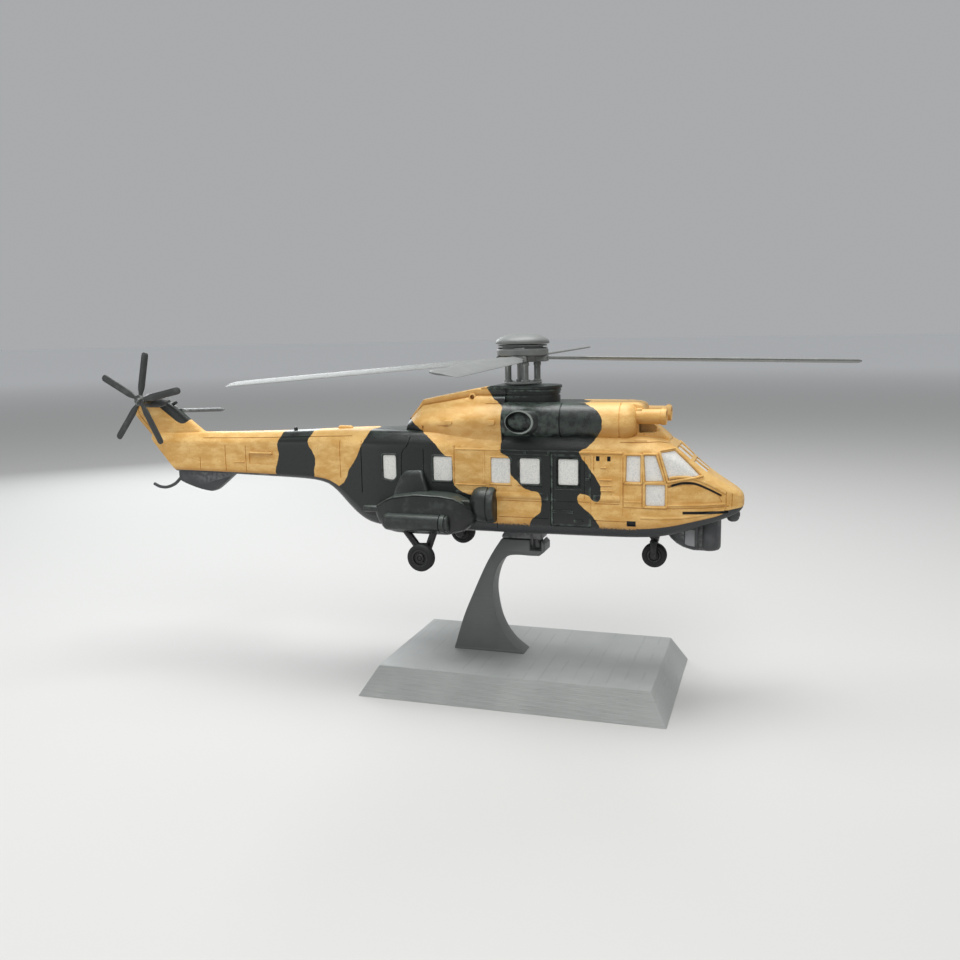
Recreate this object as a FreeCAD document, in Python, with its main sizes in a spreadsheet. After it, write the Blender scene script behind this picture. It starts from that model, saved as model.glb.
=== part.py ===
import FreeCAD, Part
import math
import os
import Sketcher
from FreeCAD import Placement, Rotation, Vector

# Display model of a medium transport helicopter on a printed stand, in millimetres.
# The origin is the middle of the stand's underside. +X points to the nose, +Z is up, -Y is starboard.

SIZES = {
    # stand
    "base_length": 104.0, "base_width": 66.0, "base_height": 9.6, "base_bevel": 5.7,
    "arm_thickness": 8.0, "tenon_depth": 5.0, "tenon_length": 18.0, "tenon_thickness": 5.0,
    "arm_foot_rear": -27.0, "arm_foot_front": -1.0, "arm_top": 50.6, "notch_width": 4.1,
    # fuselage skin
    "skin_wall": 1.5, "pane_recess": 0.4,
    # cabin windows and doors, measured along x and z
    "pane_low": 71.8, "pane_high": 80.2, "door_rear": 10.8, "door_front": 24.6,
    "door_low": 57.6, "door_high": 82.0, "door_recess": 0.5,
    "rail_rear": -6.2, "rail_z": 82.6, "rail_height": 0.9,
    # upper works
    "deck_top": 98.2, "deck_half_width": 6.6, "deck_front": 40.5,
    "cap_rear": -14.6, "cap_front": 11.9, "cap_half_width": 6.9, "cap_bottom": 102.7, "cap_top": 103.8,
    "pylon_front": 11.3,
    "nacelle_y": 6.9, "nacelle_z": 92.3, "nacelle_radius": 6.05, "nacelle_rear": -5.8, "nacelle_front": 38.4,
    "intake_radius": 2.45, "intake_rim_radius": 2.65, "intake_bore_radius": 1.75, "intake_front": 47.7,
    "intake_z": 94.0, "intake_depth": 7.0, "intake_rim": 1.9,
    "exhaust_x": 1.9, "exhaust_half_length": 6.0, "exhaust_half_height": 4.1, "exhaust_wall": 1.0,
    "exhaust_root": 9.6, "exhaust_mouth": 14.4,
    # sponsons
    "sponson_root": 9.0, "sponson_side": 20.6, "sponson_edge": 1.3,
    "bag_radius": 3.1, "bag_rear": -46.4, "bag_front": -21.8, "bag_y": 20.1, "bag_z": 58.5,
    "spike_radius": 1.15, "spike_tip": -54.0, "spike_z": 62.4, "spike_y": 18.6,
    "pod_radius": 6.3, "pod_rear": -18.6, "pod_front": -7.7, "pod_y": 11.6, "pod_z": 64.2,
    "fairing_out": 15.6, "fairing_low": 66.0, "fairing_high": 75.2,
    # small parts under the nose and the tail
    "sensor_x": 68.6, "sensor_radius": 2.1, "sensor_low": 59.5,
    "ventral_half_width": 1.5, "skid_radius": 0.5, "fin_half_width": 1.6,
    "stab_span": 27.0, "stab_thickness": 1.4, "stab_droop": 5.0,
    "gearbox_x": -149.2, "gearbox_z": 96.6, "gearbox_half_length": 6.6, "gearbox_radius": 2.3,
    # support under the belly
    "saddle_rear": -8.8, "saddle_front": 5.6, "saddle_half_width": 3.6, "saddle_low": 50.9,
    "peg_x": 3.3, "peg_radius": 1.75, "peg_low": 47.2,
    # landing gear
    "main_wheel_x": -31.7, "main_wheel_y": 22.2, "main_wheel_z": 47.0,
    "main_tyre_radius": 4.7, "main_tyre_width": 3.4, "main_rim_radius": 2.9, "axle_radius": 0.8,
    "axle_gap": 0.05, "leg_radius": 1.25, "leg_y": 18.6, "leg_top": 56.0,
    "nose_wheel_x": 43.4, "nose_wheel_z": 46.9, "nose_tyre_radius": 4.15, "nose_tyre_width": 3.2,
    "nose_rim_radius": 2.3, "nose_leg_radius": 1.75,
    # main rotor
    "rotor_x": -1.6, "rotor_z": 112.8, "rotor_radius": 108.5, "blade_chord": 8.3, "blade_thickness": 1.1,
    "blade_root": 8.6, "blade_pitch": -9.0, "blade_heading": 5.8,
    "shaft_radius": 1.5, "shaft_gap": 0.05, "bush_radius": 3.0, "bush_depth": 9.0,
    "rod_radius": 1.1, "rod_circle": 5.0, "rod_heading": 24.6, "ring_radius": 6.6, "ring_low": 104.15,
    "ring_height": 0.75, "hub_radius": 8.75, "hub_low": 113.6, "hub_high": 116.0, "clamp_low": 111.5,
    "dome_radius": 9.15, "dome_low": 117.3, "dome_high": 121.2,
    # tail rotor
    "tail_x": -150.0, "tail_y": 8.0, "tail_z": 98.1, "tail_rotor_radius": 19.1, "tail_blade_width": 2.7,
    "tail_blade_thickness": 1.3, "tail_hub_radius": 2.1, "tail_hub_width": 1.8, "tail_shaft_radius": 0.8,
}

# Fuselage stations from nose to tail: x, half width, bottom, top, where the side begins, where it ends,
# half width of the flat bottom, half width of the roof.
STATIONS = [
    (72.0, 0.5, 65.9, 67.1, 66.3, 66.8, 0.3, 0.3),
    (72.0, 3.0, 64.2, 69.0, 65.5, 67.9, 1.9, 1.9),
    (69.5, 5.4, 62.3, 70.9, 64.5, 69.0, 3.6, 3.5),
    (62.5, 8.8, 59.8, 74.8, 63.6, 71.6, 6.1, 5.4),
    (56.0, 10.9, 57.6, 80.0, 62.8, 76.0, 7.6, 6.8),
    (50.8, 12.0, 56.0, 84.9, 62.3, 80.4, 8.4, 8.2),
    (46.5, 12.6, 55.0, 87.0, 62.1, 81.8, 8.8, 9.1),
    (40.0, 13.0, 54.4, 87.9, 62.0, 82.3, 9.0, 9.7),
    (28.0, 13.0, 54.1, 88.2, 62.0, 82.4, 9.0, 9.8),
    (-10.0, 13.0, 54.0, 88.3, 62.0, 82.4, 9.0, 9.8),
    (-44.0, 12.8, 54.0, 88.4, 62.0, 82.4, 8.8, 9.2),
    (-53.0, 12.0, 54.3, 88.4, 62.4, 82.4, 8.0, 8.0),
    (-58.5, 11.0, 55.8, 88.3, 64.0, 82.5, 7.2, 6.9),
    (-64.0, 9.9, 60.2, 88.1, 66.8, 82.5, 6.4, 5.9),
    (-69.5, 8.9, 66.2, 87.9, 70.4, 82.6, 5.7, 5.1),
    (-74.5, 8.1, 69.2, 87.6, 72.3, 82.6, 5.1, 4.4),
    (-85.0, 7.2, 69.8, 87.0, 72.6, 82.3, 4.5, 3.6),
    (-105.0, 5.9, 70.1, 86.1, 72.7, 81.6, 3.6, 2.9),
    (-128.0, 4.4, 70.4, 85.6, 72.8, 81.1, 2.7, 2.2),
    (-150.0, 3.0, 70.7, 85.2, 73.0, 80.8, 1.9, 1.6),
]
STATION_FIELDS = ("x", "side", "low", "top", "rise", "turn", "floor", "roof")

# Rear cowl stations: x, top, half width of the top, crease half width and height, side half width and height.
COWL_STATIONS = [
    (-5.8, 102.7, 6.3, 8.8, 97.3, 12.3, 93.2),
    (-16.0, 102.6, 6.1, 8.5, 97.2, 12.0, 92.9),
    (-26.0, 100.7, 5.0, 7.4, 96.0, 10.8, 92.0),
    (-36.4, 98.6, 3.8, 5.8, 94.7, 8.8, 91.0),
    (-41.8, 92.4, 3.2, 4.6, 91.2, 6.4, 89.6),
    (-46.0, 88.9, 2.0, 3.0, 88.6, 4.2, 88.0),
]
COWL_FIELDS = ("x", "top", "roof", "fold", "fold_z", "side", "side_z")
COWL_SEAM = 87.0
UPPER_WORKS_BOTTOM = 84.0

# Rotor blades as they were set by hand: heading on from square, and droop, in degrees.
BLADE_SETS = [(0.0, -1.2), (-5.2, 0.3), (0.0, -4.55), (-0.6, -0.1)]
TAIL_BLADE_HEADINGS = [12.5, 78.0, 151.0, 233.0, 297.0]

# Window outlines on the side of the nose, seen from starboard: x and z of each corner.
NOSE_PANES = [
    [(35.7, 73.6), (40.3, 73.6), (40.3, 81.9), (35.7, 81.9)],
    [(41.7, 73.8), (47.5, 74.0), (45.0, 82.0), (41.3, 82.0)],
    [(49.2, 74.2), (57.6, 75.9), (50.3, 83.2), (46.4, 82.6)],
    [(42.0, 66.0), (48.0, 66.0), (48.0, 72.6), (42.0, 72.6)],
]
CABIN_PANES = [(-48.9, -43.9), (-30.1, -23.3), (-9.5, -2.8), (0.4, 7.3), (13.3, 20.1)]

doc = FreeCAD.newDocument("HelicopterScaleModel")
sheet = doc.addObject("Spreadsheet::Sheet", "Sizes")
nodes = []


class Size:
    """A number together with the sheet formula that it comes from."""

    def __init__(self, value, text):
        self.value = value
        self.text = text

    def join(self, other, sign, flip=False):
        value, text = parts(other)
        first, second = (value, self.value) if flip else (self.value, value)
        left, right = (text, self.text) if flip else (self.text, text)
        result = {"+": first + second, "-": first - second, "*": first * second,
                  "/": first / second if second else 0.0}[sign]
        return Size(result, "(%s %s %s)" % (left, sign, right))

    def __add__(self, other):
        return self.join(other, "+")

    def __radd__(self, other):
        return self.join(other, "+", True)

    def __sub__(self, other):
        return self.join(other, "-")

    def __rsub__(self, other):
        return self.join(other, "-", True)

    def __mul__(self, other):
        return self.join(other, "*")

    def __rmul__(self, other):
        return self.join(other, "*", True)

    def __truediv__(self, other):
        return self.join(other, "/")

    def __neg__(self):
        return self.join(-1.0, "*")

    def __float__(self):
        return self.value


def parts(number):
    if isinstance(number, Size):
        return number.value, number.text
    return float(number), "(%.6g)" % number


def fill_sheet():
    rows = list(SIZES.items())
    for prefix, fields, table in (("skin", STATION_FIELDS, STATIONS), ("cowl", COWL_FIELDS, COWL_STATIONS)):
        for number, station in enumerate(table):
            rows += [("%s_%s_%d" % (prefix, field, number), value) for field, value in zip(fields, station)]
    for row, (alias, value) in enumerate(rows, start=1):
        sheet.set("A%d" % row, alias)
        sheet.set("B%d" % row, "%.6g" % value)
        sheet.setAlias("B%d" % row, alias)
    doc.recompute()
    return {alias: Size(float(sheet.get(alias)), "Sizes.%s" % alias) for alias, value in rows}


size = fill_sheet()


def bind(item, **values):
    """Sets each property, and ties it to the sheet where the value comes from there."""
    for name, value in values.items():
        setattr(item, name, float(value))
        if isinstance(value, Size):
            item.setExpression(name, value.text)
    return item


def move(item, x=0.0, y=0.0, z=0.0, rotation=None):
    item.Placement = Placement(Vector(float(x), float(y), float(z)), rotation or Rotation())
    for axis, value in (("x", x), ("y", y), ("z", z)):
        if isinstance(value, Size):
            item.setExpression("Placement.Base.%s" % axis, value.text)
    return item


def solid(kind, name, **values):
    return bind(doc.addObject("Part::" + kind, name), **values)


def feature(name, shape):
    item = doc.addObject("Part::Feature", name)
    item.Shape = shape
    return item


def fuse(name, items):
    item = doc.addObject("Part::MultiFuse", name)
    item.Shapes = items
    return item


def cut(name, base, *tools):
    for number, tool in enumerate(tools):
        item = doc.addObject("Part::Cut", name if number == len(tools) - 1 else name + "_cut")
        item.Base = base
        item.Tool = tool
        base = item
    return base


def common(name, items):
    item = doc.addObject("Part::MultiCommon", name)
    item.Shapes = items
    return item


def node(name, item):
    item.Label = name
    nodes.append(item)
    return item


def plane(body, role):
    return next(item for item in body.Origin.OriginFeatures if item.Role == role)


def arc_between(start, end, radius):
    """The arc from start to end; a positive radius bulges to the right of the way along."""
    half = (end - start) * 0.5
    rise = math.sqrt(max(radius * radius - half.Length ** 2, 0.0))
    left = Vector(-half.y, half.x, 0).normalize()
    side = 1.0 if radius > 0 else -1.0
    centre = start + half + left * (side * rise)
    middle = centre - left * (side * abs(radius))
    return Part.Arc(start, middle, end)


def outline_sketch(body, name, role, outline):
    """A closed outline of lines and arcs; every corner is held to the sheet by its two coordinates."""
    sketch = body.newObject("Sketcher::SketchObject", name)
    sketch.AttachmentSupport = [(plane(body, role), "")]
    sketch.MapMode = "FlatFace"
    corners = [Vector(float(point[0]), float(point[1]), 0) for point in outline]
    ends = []
    for number, point in enumerate(outline):
        start, end = corners[number], corners[(number + 1) % len(corners)]
        radius = point[2] if len(point) > 2 else None
        if radius is None:
            index = sketch.addGeometry(Part.LineSegment(start, end))
            ends.append((index, 1, 2))
            continue
        arc = arc_between(start, end, float(radius))
        index = sketch.addGeometry(arc)
        first = sketch.getPoint(index, 1)
        ends.append((index, 1, 2) if (first - start).Length < 1e-6 else (index, 2, 1))
        limit = sketch.addConstraint(Sketcher.Constraint("Radius", index, abs(float(radius))))
        if isinstance(radius, Size):
            sketch.setExpression("Constraints[%d]" % limit, "abs(%s)" % radius.text)
    for number, point in enumerate(outline):
        index, first, last = ends[number]
        following = ends[(number + 1) % len(ends)]
        sketch.addConstraint(Sketcher.Constraint("Coincident", index, last, following[0], following[1]))
        for direction, value in (("DistanceX", point[0]), ("DistanceY", point[1])):
            limit = sketch.addConstraint(Sketcher.Constraint(direction, -1, 1, index, first, float(value)))
            if isinstance(value, Size):
                sketch.setExpression("Constraints[%d]" % limit, value.text)
    return sketch


def padded(name, role, outline, length, both_ways=False):
    body = doc.addObject("PartDesign::Body", name)
    sketch = outline_sketch(body, name + "_outline", role, outline)
    pad = body.newObject("PartDesign::Pad", name + "_pad")
    pad.Profile = sketch
    pad.Midplane = both_ways
    bind(pad, Length=length)
    return body


def turned(name, outline):
    """A piece turned about its own z axis; the outline gives radius and height."""
    body = doc.addObject("PartDesign::Body", name)
    sketch = outline_sketch(body, name + "_outline", "XZ_Plane", outline)
    turn = body.newObject("PartDesign::Revolution", name + "_turn")
    turn.Profile = sketch
    turn.ReferenceAxis = (sketch, ["V_Axis"])
    turn.Angle = 360.0
    return body


def prism(name, points, near, far):
    """A flat outline in x and z, pulled along y from near to far."""
    corners = [Vector(float(x), float(near), float(z)) for x, z in points]
    face = Part.Face(Part.makePolygon(corners + corners[:1]))
    return feature(name, face.extrude(Vector(0, float(far) - float(near), 0)))


def skin_poles(number, inset):
    """Control points round one fuselage station, moved in by the given amount."""
    value = {field: float(size["skin_%s_%d" % (field, number)]) for field in STATION_FIELDS}
    give = min(inset, 0.4 * value["side"], 0.3 * (value["top"] - value["low"]))
    side, low, top = value["side"] - give, value["low"] + give, value["top"] - give
    floor, roof = value["floor"] - 0.4 * give, value["roof"] - 0.4 * give
    rise, turn = max(value["rise"], low + 0.3), min(value["turn"], top - 0.3)
    half = [
        (0.0, low), (0.5 * floor, low), (floor, low),
        (floor + 0.6 * (side - floor), low + 0.12 * (rise - low)), (side, rise - 0.4 * (rise - low)),
        (side, rise), (side, rise + 0.33 * (turn - rise)), (side, rise + 0.67 * (turn - rise)), (side, turn),
        (side - 0.04 * (side - roof), turn + 0.3 * (top - turn)),
        (roof + 0.3 * (side - roof), top - 0.2 * (top - turn)), (roof, top), (0.5 * roof, top), (0.0, top),
    ]
    other = [(-y, z) for y, z in half[-2:0:-1]]
    return [Vector(value["x"], -y, z) for y, z in half + other]


def skin_solid(name, inset):
    """The fuselage as one smooth surface through its stations, closed at both ends."""
    poles = [skin_poles(number, inset) for number in range(len(STATIONS))]
    along = len(poles) - 2
    round_it = len(poles[0]) + 1
    surface = Part.BSplineSurface()
    surface.buildFromPolesMultsKnots(
        poles, [4] + [1] * (along - 2) + [4], [1] * round_it,
        [float(knot) for knot in range(along)], [float(knot) for knot in range(round_it)], False, True, 3, 3)
    skin = surface.toShape()
    ends = [Part.Face(Part.Wire([surface.uIso(end).toShape()])) for end in (0.0, along - 1.0)]
    shell = Part.Shell([skin] + ends)
    shell.sewShape()
    closed = Part.Solid(shell)
    if closed.Volume < 0:
        closed.reverse()
    return feature(name, closed)


def cowl_ring(number):
    value = {field: float(size["cowl_%s_%d" % (field, number)]) for field in COWL_FIELDS}
    half = [
        (value["roof"], value["top"]), (value["fold"], value["fold_z"]), (value["side"], value["side_z"]),
        (value["side"] - 0.1, 0.5 * (value["side_z"] + COWL_SEAM)), (value["side"] - 0.6, COWL_SEAM),
        (value["side"] - 0.8, UPPER_WORKS_BOTTOM),
    ]
    corners = [Vector(value["x"], -y, z) for y, z in half] + [Vector(value["x"], y, z) for y, z in half[::-1]]
    return Part.makePolygon(corners + corners[:1])


def twin(name, item):
    """The same piece on the other side of the fuselage."""
    copy = doc.addObject("Part::Mirroring", name)
    copy.Source = item
    copy.Normal = Vector(0, 1, 0)
    return copy


def both_sides(name, item):
    return fuse(name, [item, twin(name + "_port", item)])


def side_box(name, rear, front, low, high):
    """A block through the starboard wall of the cabin."""
    box = solid("Box", name, Length=front - rear, Width=8.0, Height=high - low)
    return move(box, rear, -14.5, low)


def pair(starboard_name, port_name, item):
    node(starboard_name, item)
    return node(port_name, twin(port_name, item))


def along_x(name, radius, rear, front, y, z):
    """A round bar that lies along x."""
    bar = solid("Cylinder", name, Radius=radius, Height=front - rear)
    return move(bar, rear, y, z, Rotation(Vector(0, 1, 0), 90))


def along_y(name, radius, near, far, x, z):
    """A round bar that lies along y, from near to far."""
    bar = solid("Cylinder", name, Radius=radius, Height=far - near)
    return move(bar, x, near, z, Rotation(Vector(1, 0, 0), -90))


def bar_between(name, radius, start, end):
    start, end = Vector(*start), Vector(*end)
    bar = solid("Cylinder", name, Radius=radius)
    bar.Height = (end - start).Length
    bar.Placement = Placement(start, Rotation(Vector(0, 0, 1), end - start))
    return bar


def make_stand():
    base = bind(
        doc.addObject("Part::Wedge", "base_block"),
        Xmin=-size["base_length"] / 2, Xmax=size["base_length"] / 2, Ymin=0.0, Ymax=size["base_height"],
        Zmin=-size["base_width"] / 2, Zmax=size["base_width"] / 2,
        X2min=size["base_bevel"] - size["base_length"] / 2, X2max=size["base_length"] / 2 - size["base_bevel"],
        Z2min=size["base_bevel"] - size["base_width"] / 2, Z2max=size["base_width"] / 2 - size["base_bevel"])
    base.Placement.Rotation = Rotation(Vector(1, 0, 0), 90)
    tenon = solid("Box", "arm_tenon", Length=size["tenon_length"], Width=size["tenon_thickness"],
                  Height=size["tenon_depth"] + 1.0)
    move(tenon, size["arm_foot_rear"] + 4.0, -size["tenon_thickness"] / 2,
         size["base_height"] - size["tenon_depth"])
    node("stand_base", cut("stand_base", base, tenon))
    foot, top = size["base_height"], size["arm_top"]
    notch = [size["peg_x"] - size["notch_width"] / 2, size["peg_x"] + size["notch_width"] / 2]
    outline = [
        (size["arm_foot_rear"], foot), (size["arm_foot_front"], foot, -19.3), (-12.2, 30.0, -17.5),
        (-6.5, 45.2), (4.7, 45.2), (6.6, 46.8), (6.6, 49.3), (notch[1], top),
        (notch[1], size["peg_low"] - 0.3), (notch[0], size["peg_low"] - 0.3), (notch[0], top),
        (-8.9, top, 140.0),
    ]
    arm = padded("arm_plate", "XZ_Plane", outline, size["arm_thickness"], True)
    node("stand_arm", fuse("stand_arm", [arm, tenon]))


def make_support():
    """The block and peg under the belly that sit on the stand's arm."""
    outline = [
        (size["saddle_rear"], size["saddle_low"]), (size["saddle_front"], size["saddle_low"]),
        (size["saddle_front"], 56.0), (size["saddle_rear"] + 3.0, 56.0),
    ]
    saddle = padded("saddle_block", "XZ_Plane", outline, size["saddle_half_width"] * 2, True)
    peg = solid("Cylinder", "support_peg", Radius=size["peg_radius"],
                Height=size["saddle_low"] - size["peg_low"] + 1.0)
    move(peg, size["peg_x"], 0.0, size["peg_low"])
    whole = fuse("support_whole", [saddle, peg])
    node("support_block", cut("support_block", whole, skin["outer"]))


def make_skins():
    """The solids that the fuselage and its glazing are cut from."""
    skins = {"outer": skin_solid("skin_outer", 0.0)}
    cavity = skin_solid("skin_cavity", float(size["skin_wall"]))
    inside = solid("Box", "cavity_limits", Length=201.0, Width=40.0, Height=60.0)
    move(inside, -131.5, -20.0, 40.0)
    skins["inner"] = common("skin_inner", [cavity, inside])
    for name, depth in (("glass", size["pane_recess"]), ("door", size["door_recess"]),
                        ("door_glass", size["pane_recess"] + size["door_recess"])):
        skins[name] = cut("skin_" + name, skin_solid("skin_%s_solid" % name, float(depth)), skins["inner"])
    edge = [(-138.9, 70.4), (-157.6, 91.4), (-158.4, 94.4), (-156.6, 97.0)]
    fin = [(-122.0, 72.0), (-127.6, 85.4), (-141.0, 95.9), (-143.4, 97.0)]
    fin_core = prism("fin_core", fin + edge[::-1], -size["fin_half_width"], size["fin_half_width"])
    beyond = [(-138.9, 70.4), (-136.8, 68.0), (-136.8, 55.0), (-170.0, 55.0), (-170.0, 100.0)] + edge[::-1][:-1]
    skins["beyond"] = prism("behind_fin", beyond, -20.0, 20.0)
    skins["hull"] = cut("hull", fuse("hull_whole", [skins["outer"], fin_core]), skins["beyond"])
    return skins


def make_fuselage():
    low, high = size["pane_low"], size["pane_high"]
    cabin = [side_box("cabin_pane_%d" % n, rear, front, low, high)
             for n, (rear, front) in enumerate(CABIN_PANES)]
    nose = [prism("nose_pane_%d" % n, points, -14.5, -6.5) for n, points in enumerate(NOSE_PANES)]
    door = side_box("door_opening", size["door_rear"], size["door_front"], size["door_low"], size["door_high"])
    screens = []
    for rear, front, width in ((51.3, 55.6, 6.4), (56.7, 60.6, 5.4)):
        pane = solid("Box", "screen_block", Length=front - rear, Width=width, Height=22.0)
        screens.append(move(pane, rear, -width - 0.7, 70.0))
    side_cuts = both_sides("side_openings", fuse("starboard_openings", cabin[:4] + nose + [door]))
    screen_cuts = both_sides("screen_openings", fuse("starboard_screens", screens))
    hollow = cut("hull_hollow", skin["hull"], skin["inner"], side_cuts, screen_cuts)
    for name, start in (("fuselage_right", -30.0), ("fuselage_left", 0.0)):
        half = solid("Box", name + "_side", Length=260.0, Width=30.0, Height=80.0)
        move(half, -170.0, start, 40.0)
        node(name, common(name, [hollow, half]))
    cabin_glass = common("cabin_glass", [skin["glass"], fuse("cabin_blocks", cabin[:4])])
    door_glass = common("door_glass", [skin["door_glass"], cabin[4]])
    pair("cabin_panes_right", "cabin_panes_left", fuse("cabin_panes", [cabin_glass, door_glass]))
    pair("cockpit_panes_right", "cockpit_panes_left",
         common("cockpit_panes", [skin["glass"], fuse("nose_blocks", nose)]))
    node("windscreen", common("windscreen", [skin["glass"], screen_cuts]))
    leaf = common("door_leaf", [skin["door"], door])
    pair("cabin_door_right", "cabin_door_left", cut("cabin_door", leaf, cabin[4]))
    rail = solid("Box", "rail_bar", Length=size["door_front"] - size["rail_rear"], Width=1.2,
                 Height=size["rail_height"])
    move(rail, size["rail_rear"], -13.6, size["rail_z"])
    node("door_rails", both_sides("door_rails", cut("rail", rail, skin["outer"])))


def make_upper_works():
    low = UPPER_WORKS_BOTTOM
    deck = padded("deck_block", "XZ_Plane", [
        (size["nacelle_rear"], low), (48.6, low), (48.6, 87.0), (42.9, 91.5), (size["deck_front"], 92.1),
        (size["deck_front"], size["deck_top"] - 2.4, 2.4), (size["deck_front"] - 2.4, size["deck_top"]),
        (size["nacelle_rear"], size["deck_top"])], size["deck_half_width"] * 2, True)
    pylon = solid("Box", "pylon_block", Length=size["pylon_front"] - size["nacelle_rear"],
                  Width=size["deck_half_width"] * 2 - 0.6, Height=size["cap_bottom"] - low)
    move(pylon, size["nacelle_rear"], 0.3 - size["deck_half_width"], low)
    well = solid("Cylinder", "bush_well", Radius=size["bush_radius"], Height=size["bush_depth"] + 1.0)
    move(well, size["rotor_x"], 0.0, size["cap_top"] - size["bush_depth"])
    whole = fuse("deck_whole", [deck, pylon])
    node("engine_deck", cut("engine_deck", whole, skin["outer"], well))
    cowl = feature("cowl_loft", Part.makeLoft([cowl_ring(n) for n in range(len(COWL_STATIONS))], True, True))
    node("rear_cowl", cut("rear_cowl", cowl, skin["outer"]))
    nose_x, half = size["cap_front"], size["cap_half_width"]
    cap = padded("cap_plate", "XY_Plane", [
        (size["cap_rear"], -half), (nose_x - 5.0, -half, 5.4), (nose_x, 2.6 - half), (nose_x, half - 2.6, 5.4),
        (nose_x - 5.0, half), (size["cap_rear"], half)], size["cap_top"] - size["cap_bottom"])
    move(cap, 0.0, 0.0, size["cap_bottom"])
    node("pylon_cap", cut("pylon_cap", cap, well))
    bush = turned("rotor_bush", [
        (size["shaft_radius"] + size["shaft_gap"], 0.0), (size["bush_radius"], 0.0),
        (size["bush_radius"], size["bush_depth"]), (size["shaft_radius"] + size["shaft_gap"], size["bush_depth"])])
    node("rotor_bush", move(bush, size["rotor_x"], 0.0, size["cap_top"] - size["bush_depth"]))


def ellipse_bar(name, half_length, half_height, near, far):
    """An oval bar along y at the exhaust's centre."""
    oval = Part.Ellipse(Vector(float(size["exhaust_x"]), float(near), float(size["nacelle_z"])),
                        float(half_length), float(half_height))
    oval.Axis = Vector(0, 1, 0)
    oval.XAxis = Vector(1, 0, 0)
    face = Part.Face(Part.Wire([oval.toShape()]))
    return feature(name, face.extrude(Vector(0, float(far) - float(near), 0)))


def make_engines():
    radius, rear, front = size["nacelle_radius"], size["nacelle_rear"], size["nacelle_front"]
    body = turned("nacelle_round", [
        (0.0, 0.0), (radius, 0.0), (radius, front - rear - 3.2, 3.4), (radius - 2.4, front - rear),
        (0.0, front - rear)])
    move(body, rear, -size["nacelle_y"], size["nacelle_z"], Rotation(Vector(0, 1, 0), 90))
    wall = size["exhaust_wall"]
    oval = ellipse_bar("exhaust_oval", size["exhaust_half_length"], size["exhaust_half_height"],
                       -size["exhaust_mouth"], -size["exhaust_root"])
    mouth = ellipse_bar("exhaust_bore", size["exhaust_half_length"] - wall, size["exhaust_half_height"] - wall,
                        -size["exhaust_mouth"] - 1.0, -size["exhaust_root"] - wall)
    deck = next(item for item in doc.Objects if item.Label == "deck_whole")
    nacelle = cut("nacelle", body, skin["outer"], deck, oval)
    pair("nacelle_right", "nacelle_left", nacelle)
    pair("exhaust_right", "exhaust_left", cut("exhaust", oval, mouth))
    start, reach = 36.0, size["intake_front"] - 36.0
    tube = turned("intake_tube", [
        (0.0, 0.0), (size["intake_radius"], 0.0), (size["intake_radius"], reach - size["intake_rim"]),
        (size["intake_rim_radius"], reach - size["intake_rim"]), (size["intake_rim_radius"], reach),
        (size["intake_bore_radius"], reach), (size["intake_bore_radius"], reach - size["intake_depth"]),
        (0.0, reach - size["intake_depth"])])
    move(tube, start, -size["nacelle_y"], size["intake_z"], Rotation(Vector(0, 1, 0), 90))
    pair("intake_right", "intake_left", cut("intake", tube, nacelle, deck))


def make_sponsons():
    outline = [
        (-48.5, 57.2), (-45.3, 54.8), (-38.3, 54.0), (-23.3, 54.1), (-17.3, 55.8), (-14.4, 60.4),
        (-15.8, 63.2, 34.8), (-34.3, 68.3, 27.4), (-49.2, 63.4),
    ]
    block = padded("sponson_block", "XZ_Plane", outline, size["sponson_side"] - size["sponson_root"])
    move(block, 0.0, -size["sponson_root"], 0.0)
    doc.recompute()
    pad = block.Tip
    outer = [number for number, edge in enumerate(block.Shape.Edges, start=1)
             if abs(edge.CenterOfMass.y + float(size["sponson_side"])) < 1e-4]
    bevel = block.newObject("PartDesign::Chamfer", "sponson_edge")
    bevel.Base = (pad, ["Edge%d" % number for number in outer])
    bind(bevel, Size=size["sponson_edge"])
    spike = along_x("sponson_spike", size["spike_radius"], size["spike_tip"], -47.5, -size["spike_y"],
                    size["spike_z"])
    sponson = cut("sponson", fuse("sponson_whole", [block, spike]), skin["outer"])
    pair("sponson_right", "sponson_left", sponson)
    bag = along_x("bag_round", size["bag_radius"], size["bag_rear"], size["bag_front"], -size["bag_y"],
                  size["bag_z"])
    pair("float_bag_right", "float_bag_left", cut("float_bag", bag, sponson))
    pod = along_x("pod_round", size["pod_radius"], size["pod_rear"], size["pod_front"], -size["pod_y"],
                  size["pod_z"])
    pair("sponson_pod_right", "sponson_pod_left", cut("sponson_pod", pod, skin["outer"], sponson))
    corners = [(-43.9, size["fairing_low"]), (-31.3, size["fairing_low"]), (-33.9, size["fairing_high"]),
               (-41.1, size["fairing_high"] - 1.0)]
    fairing = prism("fairing_block", corners, -size["fairing_out"], -12.0)
    node("sponson_fairings", both_sides("sponson_fairings", cut("fairing", fairing, skin["outer"], sponson)))


def oval_ring(x, z, half_length, half_width):
    oval = Part.Ellipse(Vector(x, 0, z), half_length, half_width)
    return Part.Wire([oval.toShape()])


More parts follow.
